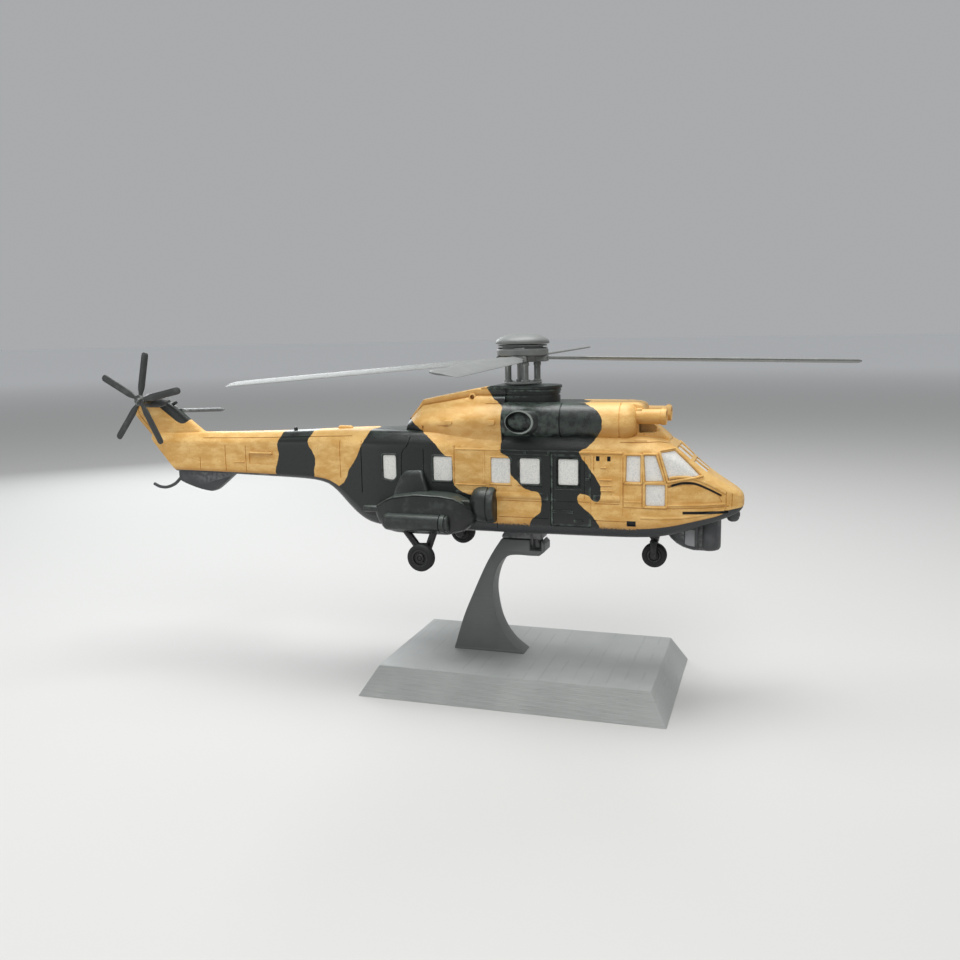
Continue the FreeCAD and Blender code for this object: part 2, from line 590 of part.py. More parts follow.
def make_nose_gear_and_pods():
    rings = [oval_ring(58.8, 49.7, 3.6, 2.4), oval_ring(57.6, 50.6, 6.6, 4.4), oval_ring(56.6, 53.0, 8.4, 5.8),
             oval_ring(56.0, 56.5, 9.0, 6.3), oval_ring(56.0, 61.0, 9.0, 6.4)]
    node("chin_turret", cut("chin_turret", feature("turret_bowl", Part.makeLoft(rings, True, True)),
                            skin["outer"]))
    radius = size["sensor_radius"]
    sensor = turned("sensor_round", [(0.0, 0.0), (radius - 1.2, 0.0, 1.3), (radius, 1.2), (radius, 7.0),
                                     (0.0, 7.0)])
    move(sensor, size["sensor_x"], 0.0, size["sensor_low"])
    node("nose_sensor", cut("nose_sensor", sensor, skin["outer"]))
    wheel_x, wheel_z, half = size["nose_wheel_x"], size["nose_wheel_z"], size["nose_tyre_width"] / 2
    crown = size["nose_wheel_z"] + size["nose_tyre_radius"] + 0.35
    strut = solid("Cylinder", "nose_strut", Radius=size["nose_leg_radius"], Height=5.0)
    move(strut, wheel_x, 0.0, crown)
    bridge = solid("Box", "fork_bridge", Length=2.6, Width=half * 2 + 2.2, Height=0.8)
    move(bridge, wheel_x - 1.3, -half - 1.1, crown)
    cheek = solid("Box", "fork_cheek", Length=2.0, Width=0.8, Height=crown - wheel_z + 1.4)
    move(cheek, wheel_x - 1.0, -half - 1.1, wheel_z - 1.0)
    pin = along_y("nose_axle", size["axle_radius"], -half - 1.0, half + 1.0, wheel_x, wheel_z)
    leg = fuse("nose_leg_whole", [strut, bridge, both_sides("fork", cheek), pin])
    node("nose_leg", cut("nose_leg", leg, skin["outer"]))


def make_tail_parts():
    ventral = prism("ventral_block", [(-139.2, 72.0), (-139.3, 66.6), (-132.0, 64.0), (-125.3, 63.0),
                                      (-119.8, 66.0), (-113.5, 72.0)],
                    -size["ventral_half_width"], size["ventral_half_width"])
    fin = cut("ventral_fin", ventral, skin["hull"], skin["beyond"])
    node("ventral_fin", fin)
    path = Part.Wire([Part.Arc(Vector(-137.0, 0, 69.0), Vector(-145.6, 0, 63.5),
                               Vector(-152.2, 0, 64.9)).toShape()])
    tangent = path.Edges[0].tangentAt(path.Edges[0].FirstParameter)
    ring = Part.Wire([Part.Circle(Vector(-137.0, 0, 69.0), tangent, float(size["skid_radius"])).toShape()])
    rod = feature("skid_rod", path.makePipeShell([ring], True, True))
    node("tail_skid", cut("tail_skid", rod, fin, skin["hull"]))
    span, thick = size["stab_span"], size["stab_thickness"]
    blade = padded("stab_blade", "XY_Plane", [
        (-147.0, 0.0), (-135.6, 0.0), (-136.4, span), (-143.2, span)], thick)
    move(blade, 0.0, 0.0, 92.9, Rotation(Vector(1, 0, 0), -float(size["stab_droop"])))
    node("stabiliser", cut("stabiliser", blade, skin["hull"]))
    x, z = size["gearbox_x"], size["gearbox_z"]
    half = size["gearbox_half_length"]
    pod = along_x("gearbox_pod", size["gearbox_radius"], x - half, x + half, 0.0, z)
    boss = along_y("gearbox_boss", size["tail_shaft_radius"] + 0.8, -size["tail_y"] + 1.3, 0.0,
                   size["tail_x"], size["tail_z"])
    bore = along_y("gearbox_bore", size["tail_shaft_radius"] + size["axle_gap"], -size["tail_y"] - 1.0, -2.2,
                   size["tail_x"], size["tail_z"])
    node("tail_gearbox", cut("tail_gearbox", fuse("gearbox_whole", [pod, boss]), skin["hull"], bore))
    aerial = bar_between("fin_aerial", 0.5, (-142.0, 0, 95.0), (-139.4, 0, 97.6))
    beacon = move(solid("Cylinder", "boom_beacon", Radius=0.7, Height=3.0), -88.7, 0.0, 84.9)
    spine = along_x("spine_light", 0.95, -71.2, -65.6, 0.0, 87.6)
    fittings = cut("aerials", fuse("aerials_whole", [aerial, beacon, spine]), skin["hull"])
    grip = bar_between("grip_bar", 0.45, (-105.0, -6.75, 78.9), (-95.4, -7.25, 78.9))
    posts = [bar_between("grip_post_%d" % number, 0.45, (x, 0, 78.9), (x, y, 78.9))
             for number, (x, y) in enumerate([(-104.4, -6.78), (-96.0, -7.22)])]
    handles = both_sides("grab_handles", cut("handle", fuse("handle_whole", [grip] + posts), skin["outer"]))
    node("boom_fittings", fuse("boom_fittings", [fittings, handles]))


def wheel(name, tyre_radius, rim_radius, width, x, y, z):
    """A tyre on its rim; both turn about the axle along y."""
    half = width / 2
    lay = Rotation(Vector(1, 0, 0), 90)
    tyre = turned(name + "_tyre", [
        (rim_radius, -half + 0.3), (tyre_radius - 1.0, -half, 1.2), (tyre_radius, 1.0 - half),
        (tyre_radius, half - 1.0, 1.2), (tyre_radius - 1.0, half), (rim_radius, half - 0.3)])
    node(name + "_tyre", move(tyre, x, y, z, lay))
    bore = size["axle_radius"] + size["axle_gap"]
    rim = turned(name + "_rim", [
        (bore, -half), (1.6, -half), (rim_radius - 0.7, 0.7 - half), (rim_radius - 0.7, 0.3 - half),
        (rim_radius, 0.3 - half), (rim_radius, half - 0.3), (rim_radius - 0.7, half - 0.3),
        (rim_radius - 0.7, half - 0.7), (1.6, half), (bore, half)])
    node(name + "_rim", move(rim, x, y, z, lay))


def make_main_gear():
    x, z, y = float(size["main_wheel_x"]), float(size["main_wheel_z"]), -float(size["leg_y"])
    top = float(size["leg_top"])
    struts = [bar_between("strut_rear", size["leg_radius"], (x - 7.1, y, top), (x - 0.6, y, z)),
              bar_between("strut_front", size["leg_radius"], (x + 3.7, y, top), (x + 0.4, y, z))]
    inner = -size["main_wheel_y"] + size["main_tyre_width"] / 2 + 0.35
    knuckle = along_y("axle_knuckle", 1.7, inner, y + 1.3, size["main_wheel_x"], size["main_wheel_z"])
    axle = along_y("main_axle", size["axle_radius"], -size["main_wheel_y"] - size["main_tyre_width"] / 2 - 0.2,
                   y, size["main_wheel_x"], size["main_wheel_z"])
    sponson = next(item for item in nodes if item.Label == "sponson_right")
    leg = cut("main_leg", fuse("main_leg_whole", struts + [knuckle, axle]), sponson, skin["outer"])
    pair("main_leg_right", "main_leg_left", leg)
    for side, sign in (("right", -1.0), ("left", 1.0)):
        wheel("main_%s" % side, size["main_tyre_radius"], size["main_rim_radius"], size["main_tyre_width"],
              size["main_wheel_x"], size["main_wheel_y"] * sign, size["main_wheel_z"])
    wheel("nose", size["nose_tyre_radius"], size["nose_rim_radius"], size["nose_tyre_width"],
          size["nose_wheel_x"], 0.0, size["nose_wheel_z"])


def make_main_rotor():
    x, z = size["rotor_x"], size["rotor_z"]
    top = size["cap_top"]
    shaft = solid("Cylinder", "rotor_shaft", Radius=size["shaft_radius"],
                  Height=size["dome_low"] - top + size["bush_depth"] - 0.5)
    move(shaft, x, 0.0, top - size["bush_depth"] + 0.5)
    node("rotor_shaft", shaft)
    ring = move(solid("Cylinder", "swash_ring", Radius=size["ring_radius"], Height=size["ring_height"]),
                x, 0.0, size["ring_low"])
    rods = []
    for number in range(4):
        angle = math.radians(float(size["rod_heading"]) + 90.0 * number)
        rod = solid("Cylinder", "rod_%d" % number, Radius=size["rod_radius"],
                    Height=size["clamp_low"] - size["ring_low"])
        rods.append(move(rod, x + size["rod_circle"] * math.cos(angle), size["rod_circle"] * math.sin(angle),
                         size["ring_low"]))
    node("mast_posts", cut("mast_posts", fuse("mast_whole", [ring] + rods), shaft))
    low, mid, high = size["clamp_low"], size["hub_low"], size["hub_high"]
    hub = turned("hub_plate", [
        (size["shaft_radius"], low), (5.4, low), (5.4, mid), (size["hub_radius"], mid),
        (size["hub_radius"], high - 0.6), (size["hub_radius"] - 0.6, high), (4.2, high),
        (4.2, size["dome_low"]), (size["shaft_radius"], size["dome_low"])])
    move(hub, x, 0.0, 0.0)
    arms = []
    for number, (turn_on, droop) in enumerate(BLADE_SETS):
        heading = float(size["blade_heading"]) + 90.0 * number + turn_on
        arm = solid("Box", "hub_arm_%d" % number, Length=6.6, Width=5.2, Height=mid - low)
        spin = Rotation(Vector(0, 0, 1), heading)
        start = spin.multVec(Vector(4.0, -2.6, 0))
        arms.append(move(arm, x + start.x, start.y, low, spin))
    whole_hub = node("rotor_hub", fuse("rotor_hub", [hub] + arms))
    radius, base = size["dome_radius"], size["dome_low"]
    rise = size["dome_high"] - base - 0.9
    crown = (radius * radius + rise * rise) / (rise * 2.0)
    dome = turned("rotor_dome", [
        (0.0, base), (radius - 0.5, base), (radius, base + 0.5), (radius, base + 0.9, crown),
        (0.0, size["dome_high"])])
    node("rotor_dome", move(dome, x, 0.0, 0.0))
    chord, tip, root = size["blade_chord"] / 2, size["rotor_radius"], size["blade_root"]
    for number, (turn_on, droop) in enumerate(BLADE_SETS):
        name = "main_blade_%d" % (number + 1)
        blade = padded(name + "_bar", "XY_Plane", [
            (root, -2.0), (16.0, -2.6), (23.0, -chord), (tip - 4.5, -chord, 7.0), (tip, 0.8 - chord / 2),
            (tip, chord / 2 - 0.8, 7.0), (tip - 4.5, chord), (23.0, chord), (16.0, 2.6), (root, 2.0)],
            size["blade_thickness"], True)
        heading = float(size["blade_heading"]) + 90.0 * number + turn_on
        pose = (Rotation(Vector(0, 0, 1), heading) * Rotation(Vector(0, 1, 0), -droop)
                * Rotation(Vector(1, 0, 0), float(size["blade_pitch"])))
        move(blade, x, 0.0, z, pose)
        node(name, cut(name, blade, whole_hub))


def make_tail_rotor():
    x, y, z = size["tail_x"], -size["tail_y"], size["tail_z"]
    hub = along_y("tail_hub_disc", size["tail_hub_radius"], y - size["tail_hub_width"] / 2,
                  y + size["tail_hub_width"] / 2, x, z)
    pin = along_y("tail_shaft", size["tail_shaft_radius"], y, -2.5, x, z)
    cone = along_y("tail_hub_cone", 1.1, y - size["tail_hub_width"] / 2 - 0.8, y, x, z)
    whole = node("tail_hub", fuse("tail_hub", [hub, pin, cone]))
    half, reach = size["tail_blade_width"] / 2, size["tail_rotor_radius"]
    for number, heading in enumerate(TAIL_BLADE_HEADINGS):
        name = "tail_blade_%d" % (number + 1)
        bar = padded(name + "_bar", "XZ_Plane", [
            (1.2, -0.7), (4.5, -half), (reach - half, -half, half + 0.1), (reach - half, half), (4.5, half),
            (1.2, 0.7)], size["tail_blade_thickness"], True)
        move(bar, x, y, z, Rotation(Vector(0, 1, 0), -heading))
        node(name, cut(name, bar, whole))


def write_parts():
    doc.recompute()
    for item in doc.Objects:
        if "Invalid" in item.State or "Error" in item.State:
            raise RuntimeError("%s did not compute: %s" % (item.Label, item.State))
    os.makedirs("parts", exist_ok=True)
    for item in nodes:
        shape = item.Shape
        if shape.isNull() or not shape.isValid() or not shape.Solids:
            raise RuntimeError("%s has no valid shape" % item.Label)
        shape.exportStep(os.path.join("parts", item.Label + ".step"))
        print("%-22s %d solid(s) %9.2f mm3" % (item.Label, len(shape.Solids), shape.Volume))
    print(len(nodes), "sub-parts")


skin = make_skins()
make_stand()
make_support()
make_fuselage()
make_upper_works()
make_engines()
make_sponsons()
make_nose_gear_and_pods()
make_tail_parts()
make_main_gear()
make_main_rotor()
make_tail_rotor()
write_parts()
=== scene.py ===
import functools
import math

import bmesh
import bpy
import numpy as np
from mathutils import Matrix, Vector


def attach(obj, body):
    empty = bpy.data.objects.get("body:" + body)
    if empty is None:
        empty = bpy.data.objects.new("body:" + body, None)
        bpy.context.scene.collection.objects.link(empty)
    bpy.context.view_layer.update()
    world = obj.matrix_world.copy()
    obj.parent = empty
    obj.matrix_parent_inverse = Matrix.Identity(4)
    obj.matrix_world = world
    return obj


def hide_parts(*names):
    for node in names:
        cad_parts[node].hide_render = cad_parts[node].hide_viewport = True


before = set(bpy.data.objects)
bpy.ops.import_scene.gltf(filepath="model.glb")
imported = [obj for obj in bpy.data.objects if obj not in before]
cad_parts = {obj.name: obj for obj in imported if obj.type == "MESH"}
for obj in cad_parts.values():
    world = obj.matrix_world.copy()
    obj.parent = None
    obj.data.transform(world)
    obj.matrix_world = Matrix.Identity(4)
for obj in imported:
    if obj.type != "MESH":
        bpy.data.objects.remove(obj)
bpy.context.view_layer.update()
mm = 0.001
weldGap = 0.002                                                # millimetres between points that are one
scene = bpy.context.scene
print("frame loaded:", len(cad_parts), "nodes")


# making and shaping meshes; all outlines are in millimetres until settle()

def newPiece(name, points, faces):
    mesh = bpy.data.meshes.new(name)
    mesh.from_pydata([tuple(map(float, point)) for point in points], [], faces)
    body = bmesh.new()
    body.from_mesh(mesh)
    bmesh.ops.remove_doubles(body, verts=body.verts, dist=weldGap)
    bmesh.ops.recalc_face_normals(body, faces=body.faces)
    body.to_mesh(mesh)
    body.free()
    piece = bpy.data.objects.new(name, mesh)
    scene.collection.objects.link(piece)
    return piece


def discard(piece):
    mesh = piece.data
    bpy.data.objects.remove(piece)
    bpy.data.meshes.remove(mesh)


def bake(piece):
    graph = bpy.context.evaluated_depsgraph_get()
    graph.update()
    mesh = bpy.data.meshes.new_from_object(piece.evaluated_get(graph))
    old = piece.data
    piece.modifiers.clear()
    piece.data = mesh
    bpy.data.meshes.remove(old)
    return piece


def soften(piece, width, steps=2, angle=32.0):
    # rounds the edges that turn more sharply than the angle
    bevel = piece.modifiers.new("soften", "BEVEL")
    bevel.width, bevel.segments, bevel.limit_method = width, steps, "ANGLE"
    bevel.angle_limit = math.radians(angle)
    return bake(piece)


def carve(piece, tool, way="DIFFERENCE", overlaps=False):
    change = piece.modifiers.new("carve", "BOOLEAN")
    change.operation, change.solver, change.object = way, "EXACT", tool
    change.use_self = overlaps
    bake(piece)
    discard(tool)
    return piece


def merge(name, pieces):
    body = bmesh.new()
    for piece in pieces:
        body.from_mesh(piece.data)
    mesh = bpy.data.meshes.new(name)
    body.to_mesh(mesh)
    body.free()
    for piece in pieces:
        discard(piece)
    whole = bpy.data.objects.new(name, mesh)
    scene.collection.objects.link(whole)
    return whole


def twin(name, piece):
    # the same piece on the port side
    mesh = piece.data.copy()
    mesh.transform(Matrix.Diagonal((1, -1, 1, 1)))
    mesh.flip_normals()
    other = bpy.data.objects.new(name, mesh)
    scene.collection.objects.link(other)
    return other


def duplicate(name, piece):
    other = bpy.data.objects.new(name, piece.data.copy())
    scene.collection.objects.link(other)
    return other


def loft(name, rings, closed=True, capped=True, looped=False):
    count = len(rings[0])
    points = [point for ring in rings for point in ring]
    across = count if closed else count - 1
    rows = len(rings) if looped else len(rings) - 1
    faces = []
    for row in range(rows):
        here, there = row * count, (row + 1) % len(rings) * count
        for step in range(across):
            after = (step + 1) % count
            faces.append((here + step, here + after, there + after, there + step))
    if capped and not looped:
        faces.append(tuple(range(count)))
        faces.append(tuple(range(len(points) - count, len(points))))
    return newPiece(name, points, faces)


def lathe(name, profile, centre, axis="z", turns=56, closed=False):
    # profile: radius and height pairs, turned about the axis through the centre
    rings = []
    for step in range(turns):
        angle = 2 * math.pi * step / turns
        ring = []
        for radius, height in profile:
            across, up = radius * math.cos(angle), radius * math.sin(angle)
            local = {"z": (across, up, height), "x": (height, across, up), "y": (across, height, up)}[axis]
            ring.append([start + shift for start, shift in zip(centre, local)])
        rings.append(ring)
    return loft(name, rings, closed=closed, capped=False, looped=True)


def flatPoint(plane, first, second, height):
    spots = {"xz": (first, height, second), "xy": (first, second, height), "yz": (height, first, second)}
    return spots[plane]


def plate(name, outline, low, high, plane="xz", softness=0.0, steps=2):
    rings = [[flatPoint(plane, a, b, height) for a, b in outline] for height in (low, high)]
    piece = loft(name, rings)
    return soften(piece, softness, steps) if softness else piece


def block(name, lowCorner, highCorner, softness=0.0, steps=2):
    (x0, y0, z0), (x1, y1, z1) = lowCorner, highCorner
    return plate(name, [(x0, z0), (x1, z0), (x1, z1), (x0, z1)], y0, y1, "xz", softness, steps)


def rounded(corners, radius, steps=5):
    # rounds the corners of a closed flat outline
    result = []
    for number, corner in enumerate(corners):
        here = Vector(corner)
        before, after = Vector(corners[number - 1]), Vector(corners[(number + 1) % len(corners)])
        reach = min(radius, 0.48 * (before - here).length, 0.48 * (after - here).length)
        first = here + (before - here).normalized() * reach
        last = here + (after - here).normalized() * reach
        for step in range(steps + 1):
            part = step / steps
            result.append(tuple(first * (1 - part) ** 2 + here * (2 * part * (1 - part)) + last * part ** 2))
    return result


def through(points, count, closed=False):
    # a smooth line through the points, evenly spaced along its length
    points = [np.array(point, float) for point in points]
    last = len(points)
    pick = (lambda n: points[n % last]) if closed else (lambda n: points[min(max(n, 0), last - 1)])
    dense = []
    for number in range(last if closed else last - 1):
        a, b, c, d = (pick(number + shift) for shift in (-1, 0, 1, 2))
        for part in np.arange(0, 1, 0.05):
            dense.append(0.5 * (2 * b + (c - a) * part + (2 * a - 5 * b + 4 * c - d) * part ** 2
                                + (3 * b - a - 3 * c + d) * part ** 3))
    dense.append(points[0] if closed else points[-1])
    dense = np.array(dense)
    along = np.concatenate([[0], np.cumsum(np.linalg.norm(np.diff(dense, axis=0), axis=1))])
    wanted = np.linspace(0, along[-1], count, endpoint=not closed)
    return np.column_stack([np.interp(wanted, along, dense[:, axis]) for axis in range(dense.shape[1])])


def sweep(name, path, normals, profile):
    # a bar of constant section along a path; the profile is given as sideways and outward pairs
    path = np.array(path, float)
    normals = np.array(normals, float)
    tangents = np.gradient(path, axis=0)
    tangents /= np.linalg.norm(tangents, axis=1)[:, None]
    normals -= tangents * np.sum(normals * tangents, axis=1)[:, None]
    normals /= np.linalg.norm(normals, axis=1)[:, None]
    sides = np.cross(tangents, normals)
    rings = [[point + side * across + normal * out for across, out in profile]
             for point, side, normal in zip(path, sides, normals)]
    return loft(name, rings)


def rod(name, points, radius, sides=16, ends=0.35):
    # a round bar along a line of points, with softly closed ends
    path = np.array(points, float)
    if len(path) == 2:
        path = np.linspace(path[0], path[1], 8)
    along = np.concatenate([[0], np.cumsum(np.linalg.norm(np.diff(path, axis=0), axis=1))])
    cap = min(ends, 0.3 * along[-1])
    stops = np.concatenate([[0, cap * 0.3, cap], along[(along > cap) & (along < along[-1] - cap)],
                            [along[-1] - cap, along[-1] - cap * 0.3, along[-1]]])
    line = np.column_stack([np.interp(stops, along, path[:, axis]) for axis in range(3)])
    tangents = np.gradient(line, axis=0)
    tangents /= np.linalg.norm(tangents, axis=1)[:, None]
    shrink = np.ones(len(line))
    shrink[[0, -1]] = (radius - cap) / radius if radius > cap else 0.55
    shrink[[1, -2]] = 1 - 0.35 * min(cap / radius, 1)
    start = np.array([0, 1, 0.02]) if abs(tangents[0][1]) < 0.9 else np.array([1, 0.02, 0])
    rings = []
    for point, tangent, share in zip(line, tangents, shrink):
        side = np.cross(tangent, start)
        side /= np.linalg.norm(side)
        start = np.cross(side, tangent)
        rings.append([point + (side * math.cos(angle) + start * math.sin(angle)) * radius * share
                      for angle in np.linspace(0, 2 * math.pi, sides, endpoint=False)])
    return loft(name, rings)


# the fuselage skin: one smooth surface through stations from nose to tail

# x, half width, bottom, top, where the side begins and ends, half width of floor and of roof
stations = [
    (72.0, 0.5, 65.9, 67.1, 66.3, 66.8, 0.3, 0.3), (72.0, 3.0, 64.2, 69.0, 65.5, 67.9, 1.9, 1.9),
    (69.5, 5.4, 62.3, 70.9, 64.5, 69.0, 3.6, 3.5), (62.5, 8.8, 59.8, 74.8, 63.6, 71.6, 6.1, 5.4),
    (56.0, 10.9, 57.6, 80.0, 62.8, 76.0, 7.6, 6.8), (50.8, 12.0, 56.0, 84.9, 62.3, 80.4, 8.4, 8.2),
    (46.5, 12.6, 55.0, 87.0, 62.1, 81.8, 8.8, 9.1), (40.0, 13.0, 54.4, 87.9, 62.0, 82.3, 9.0, 9.7),
    (28.0, 13.0, 54.1, 88.2, 62.0, 82.4, 9.0, 9.8), (-10.0, 13.0, 54.0, 88.3, 62.0, 82.4, 9.0, 9.8),
    (-44.0, 12.8, 54.0, 88.4, 62.0, 82.4, 8.8, 9.2), (-53.0, 12.0, 54.3, 88.4, 62.4, 82.4, 8.0, 8.0),
    (-58.5, 11.0, 55.8, 88.3, 64.0, 82.5, 7.2, 6.9), (-64.0, 9.9, 60.2, 88.1, 66.8, 82.5, 6.4, 5.9),
    (-69.5, 8.9, 66.2, 87.9, 70.4, 82.6, 5.7, 5.1), (-74.5, 8.1, 69.2, 87.6, 72.3, 82.6, 5.1, 4.4),
    (-85.0, 7.2, 69.8, 87.0, 72.6, 82.3, 4.5, 3.6), (-105.0, 5.9, 70.1, 86.1, 72.7, 81.6, 3.6, 2.9),
    (-128.0, 4.4, 70.4, 85.6, 72.8, 81.1, 2.7, 2.2), (-150.0, 3.0, 70.7, 85.2, 73.0, 80.8, 1.9, 1.6),
]


def stationRing(x, side, low, top, rise, turn, floor, roof):
    half = [
        (0.0, low), (0.5 * floor, low), (floor, low),
        (floor + 0.6 * (side - floor), low + 0.12 * (rise - low)), (side, rise - 0.4 * (rise - low)),
        (side, rise), (side, rise + 0.33 * (turn - rise)), (side, rise + 0.67 * (turn - rise)), (side, turn),
        (side - 0.04 * (side - roof), turn + 0.3 * (top - turn)),
        (roof + 0.3 * (side - roof), top - 0.2 * (top - turn)), (roof, top), (0.5 * roof, top), (0.0, top)]
    port = [(-y, z) for y, z in half[-2:0:-1]]
    return [(x, -y, z) for y, z in half + port]


skinRings = np.array([stationRing(*station) for station in stations])


def lengthWeights(count, values):
    # how much each of the count rings pulls on the surface at each value along the length
    knots = np.concatenate([[0] * 3, np.arange(count - 2), [count - 3] * 3]).astype(float)
    spot = np.clip(np.array(values, float), 0, count - 3 - 1e-9)[:, None]
    level = ((knots[:-1] <= spot) & (spot < knots[1:])).astype(float)
    for degree in (1, 2, 3):
        size = len(knots) - 1 - degree
        start, end = knots[:size], knots[degree:degree + size]
        nextStart, nextEnd = knots[1:1 + size], knots[degree + 1:degree + 1 + size]
        rise = np.where(end > start, (spot - start) / np.where(end > start, end - start, 1), 0)
        fall = np.where(nextEnd > nextStart,
                        (nextEnd - spot) / np.where(nextEnd > nextStart, nextEnd - nextStart, 1), 0)
        level = rise * level[:, :size] + fall * level[:, 1:size + 1]
    return level


def roundWeights(count, values):
    # the same round a closed ring of count control points
    rows = np.zeros((len(values), count))
    for row, value in enumerate(values):
        start, part = int(value), value - int(value)
        for shift, weight in ((-1, (1 - part) ** 3), (0, 3 * part ** 3 - 6 * part ** 2 + 4),
                              (1, -3 * part ** 3 + 3 * part ** 2 + 3 * part + 1), (2, part ** 3)):
            rows[row, (start + shift) % count] += weight / 6
    return rows


ringSize = skinRings.shape[1]
halfTurn = ringSize // 2                                       # from the bottom centre to the top centre
sideWeights = roundWeights(ringSize, np.linspace(0, halfTurn, halfTurn * 10 + 1))
lengthTable = np.linspace(0, len(stations) - 3, 4000)
xTable = lengthWeights(len(stations), lengthTable) @ skinRings[:, 0, 0]


@functools.lru_cache(maxsize=20000)
def sectionAt(x):
    # starboard half of the skin at x: y and z from the bottom centre to the top centre
    spot = np.interp(-x, -xTable, lengthTable)
    ring = np.tensordot(lengthWeights(len(stations), [spot])[0], skinRings, axes=1)
    half = sideWeights @ ring
    return half[:, 1], np.maximum.accumulate(half[:, 2] + np.arange(len(half)) * 1e-7)


def sideAt(x, z):
    ys, zs = sectionAt(round(float(x), 3))
    return float(np.interp(z, zs, ys))


def onSkin(x, z, lift=0.0):
    # a point on the starboard side, moved out by lift, and the way out
    step = 0.15
    y = sideAt(x, z)
    slopeX = (sideAt(x + step, z) - sideAt(x - step, z)) / (2 * step)
    slopeZ = (sideAt(x, z + step) - sideAt(x, z - step)) / (2 * step)
    out = np.array([slopeX, -1.0, slopeZ])
    out /= np.linalg.norm(out)
    return np.array([x, y, z]) + out * lift, out


def skinPatch(name, outline, outer, inner, step=1.0, crown=0.0):
    # a plate that follows the starboard skin inside a flat outline of x and z
    body = bmesh.new()
    body.faces.new([body.verts.new((x, 0, z)) for x, z in outline])
    xs, zs = [p[0] for p in outline], [p[1] for p in outline]
    for axis, low, high in ((0, min(xs), max(xs)), (2, min(zs), max(zs))):
        count = max(2, round((high - low) / step))
        for cutAt in np.linspace(low, high, count + 1)[1:-1]:
            spot, way = Vector(), Vector()
            spot[axis], way[axis] = cutAt + 1e-4, 1
            bmesh.ops.bisect_plane(body, geom=body.verts[:] + body.edges[:] + body.faces[:],
                                   plane_co=spot, plane_no=way)
    body.verts.index_update()
    flat = [(vertex.co.x, vertex.co.z) for vertex in body.verts]
    faces = [[vertex.index for vertex in face.verts] for face in body.faces]
    rim = [[vertex.index for vertex in edge.verts] for edge in body.edges if len(edge.link_faces) == 1]
    body.free()
    total = len(flat)
    spanX, spanZ = max(xs) - min(xs), max(zs) - min(zs)
    points = []
    for lift in (outer, inner):
        for x, z in flat:
            swell = 0.0
            if crown and lift == outer:
                acrossX, acrossZ = 2 * (x - min(xs)) / spanX - 1, 2 * (z - min(zs)) / spanZ - 1
                swell = crown * (1 - acrossX ** 2) * (1 - acrossZ ** 2)
            points.append(onSkin(x, z, lift + swell)[0])
    faces += [[total + index for index in face[::-1]] for face in faces]
    faces += [[a, b, b + total, a + total] for a, b in rim]
    return newPiece(name, points, faces)


def skinBar(name, path, width, outer, inner, step=0.8, soft=False):
    # a bar or, as a cutter, a groove along the starboard skin
    path = np.array(path, float)
    length = np.sum(np.linalg.norm(np.diff(path, axis=0), axis=1))
    count = max(4, int(length / step))
    line = through(path, count) if len(path) > 2 else np.linspace(path[0], path[1], count)
    spots = [onSkin(x, z) for x, z in line]
    half = width / 2
    if soft:
        profile = [(-half, inner), (-half, outer * 0.2), (-half * 0.6, outer * 0.85), (0, outer),
                   (half * 0.6, outer * 0.85), (half, outer * 0.2), (half, inner)]
    else:
        profile = [(-half, inner), (-half, outer), (half, outer), (half, inner)]
    return sweep(name, [spot[0] for spot in spots], [spot[1] for spot in spots], profile)


def skinFrame(name, outline, width, height):
    # a raised frame round a closed outline on the skin
    line = through(outline, len(outline) * 4, closed=True)
    spots = [onSkin(x, z) for x, z in line]
    points, normals = np.array([s[0] for s in spots]), np.array([s[1] for s in spots])
    tangents = np.roll(points, -1, axis=0) - np.roll(points, 1, axis=0)
    tangents /= np.linalg.norm(tangents, axis=1)[:, None]
    sides = np.cross(tangents, normals)
    half = [(-width / 2, -0.3), (-width / 2, height * 0.4), (-width * 0.25, height)]
    profile = half + [(-across, up) for across, up in half[::-1]]
    rings = [[point + side * a + normal * b for a, b in profile]
             for point, side, normal in zip(points, sides, normals)]
    return loft(name, rings, looped=True)


# finishes, all of them worked out from the place on the piece

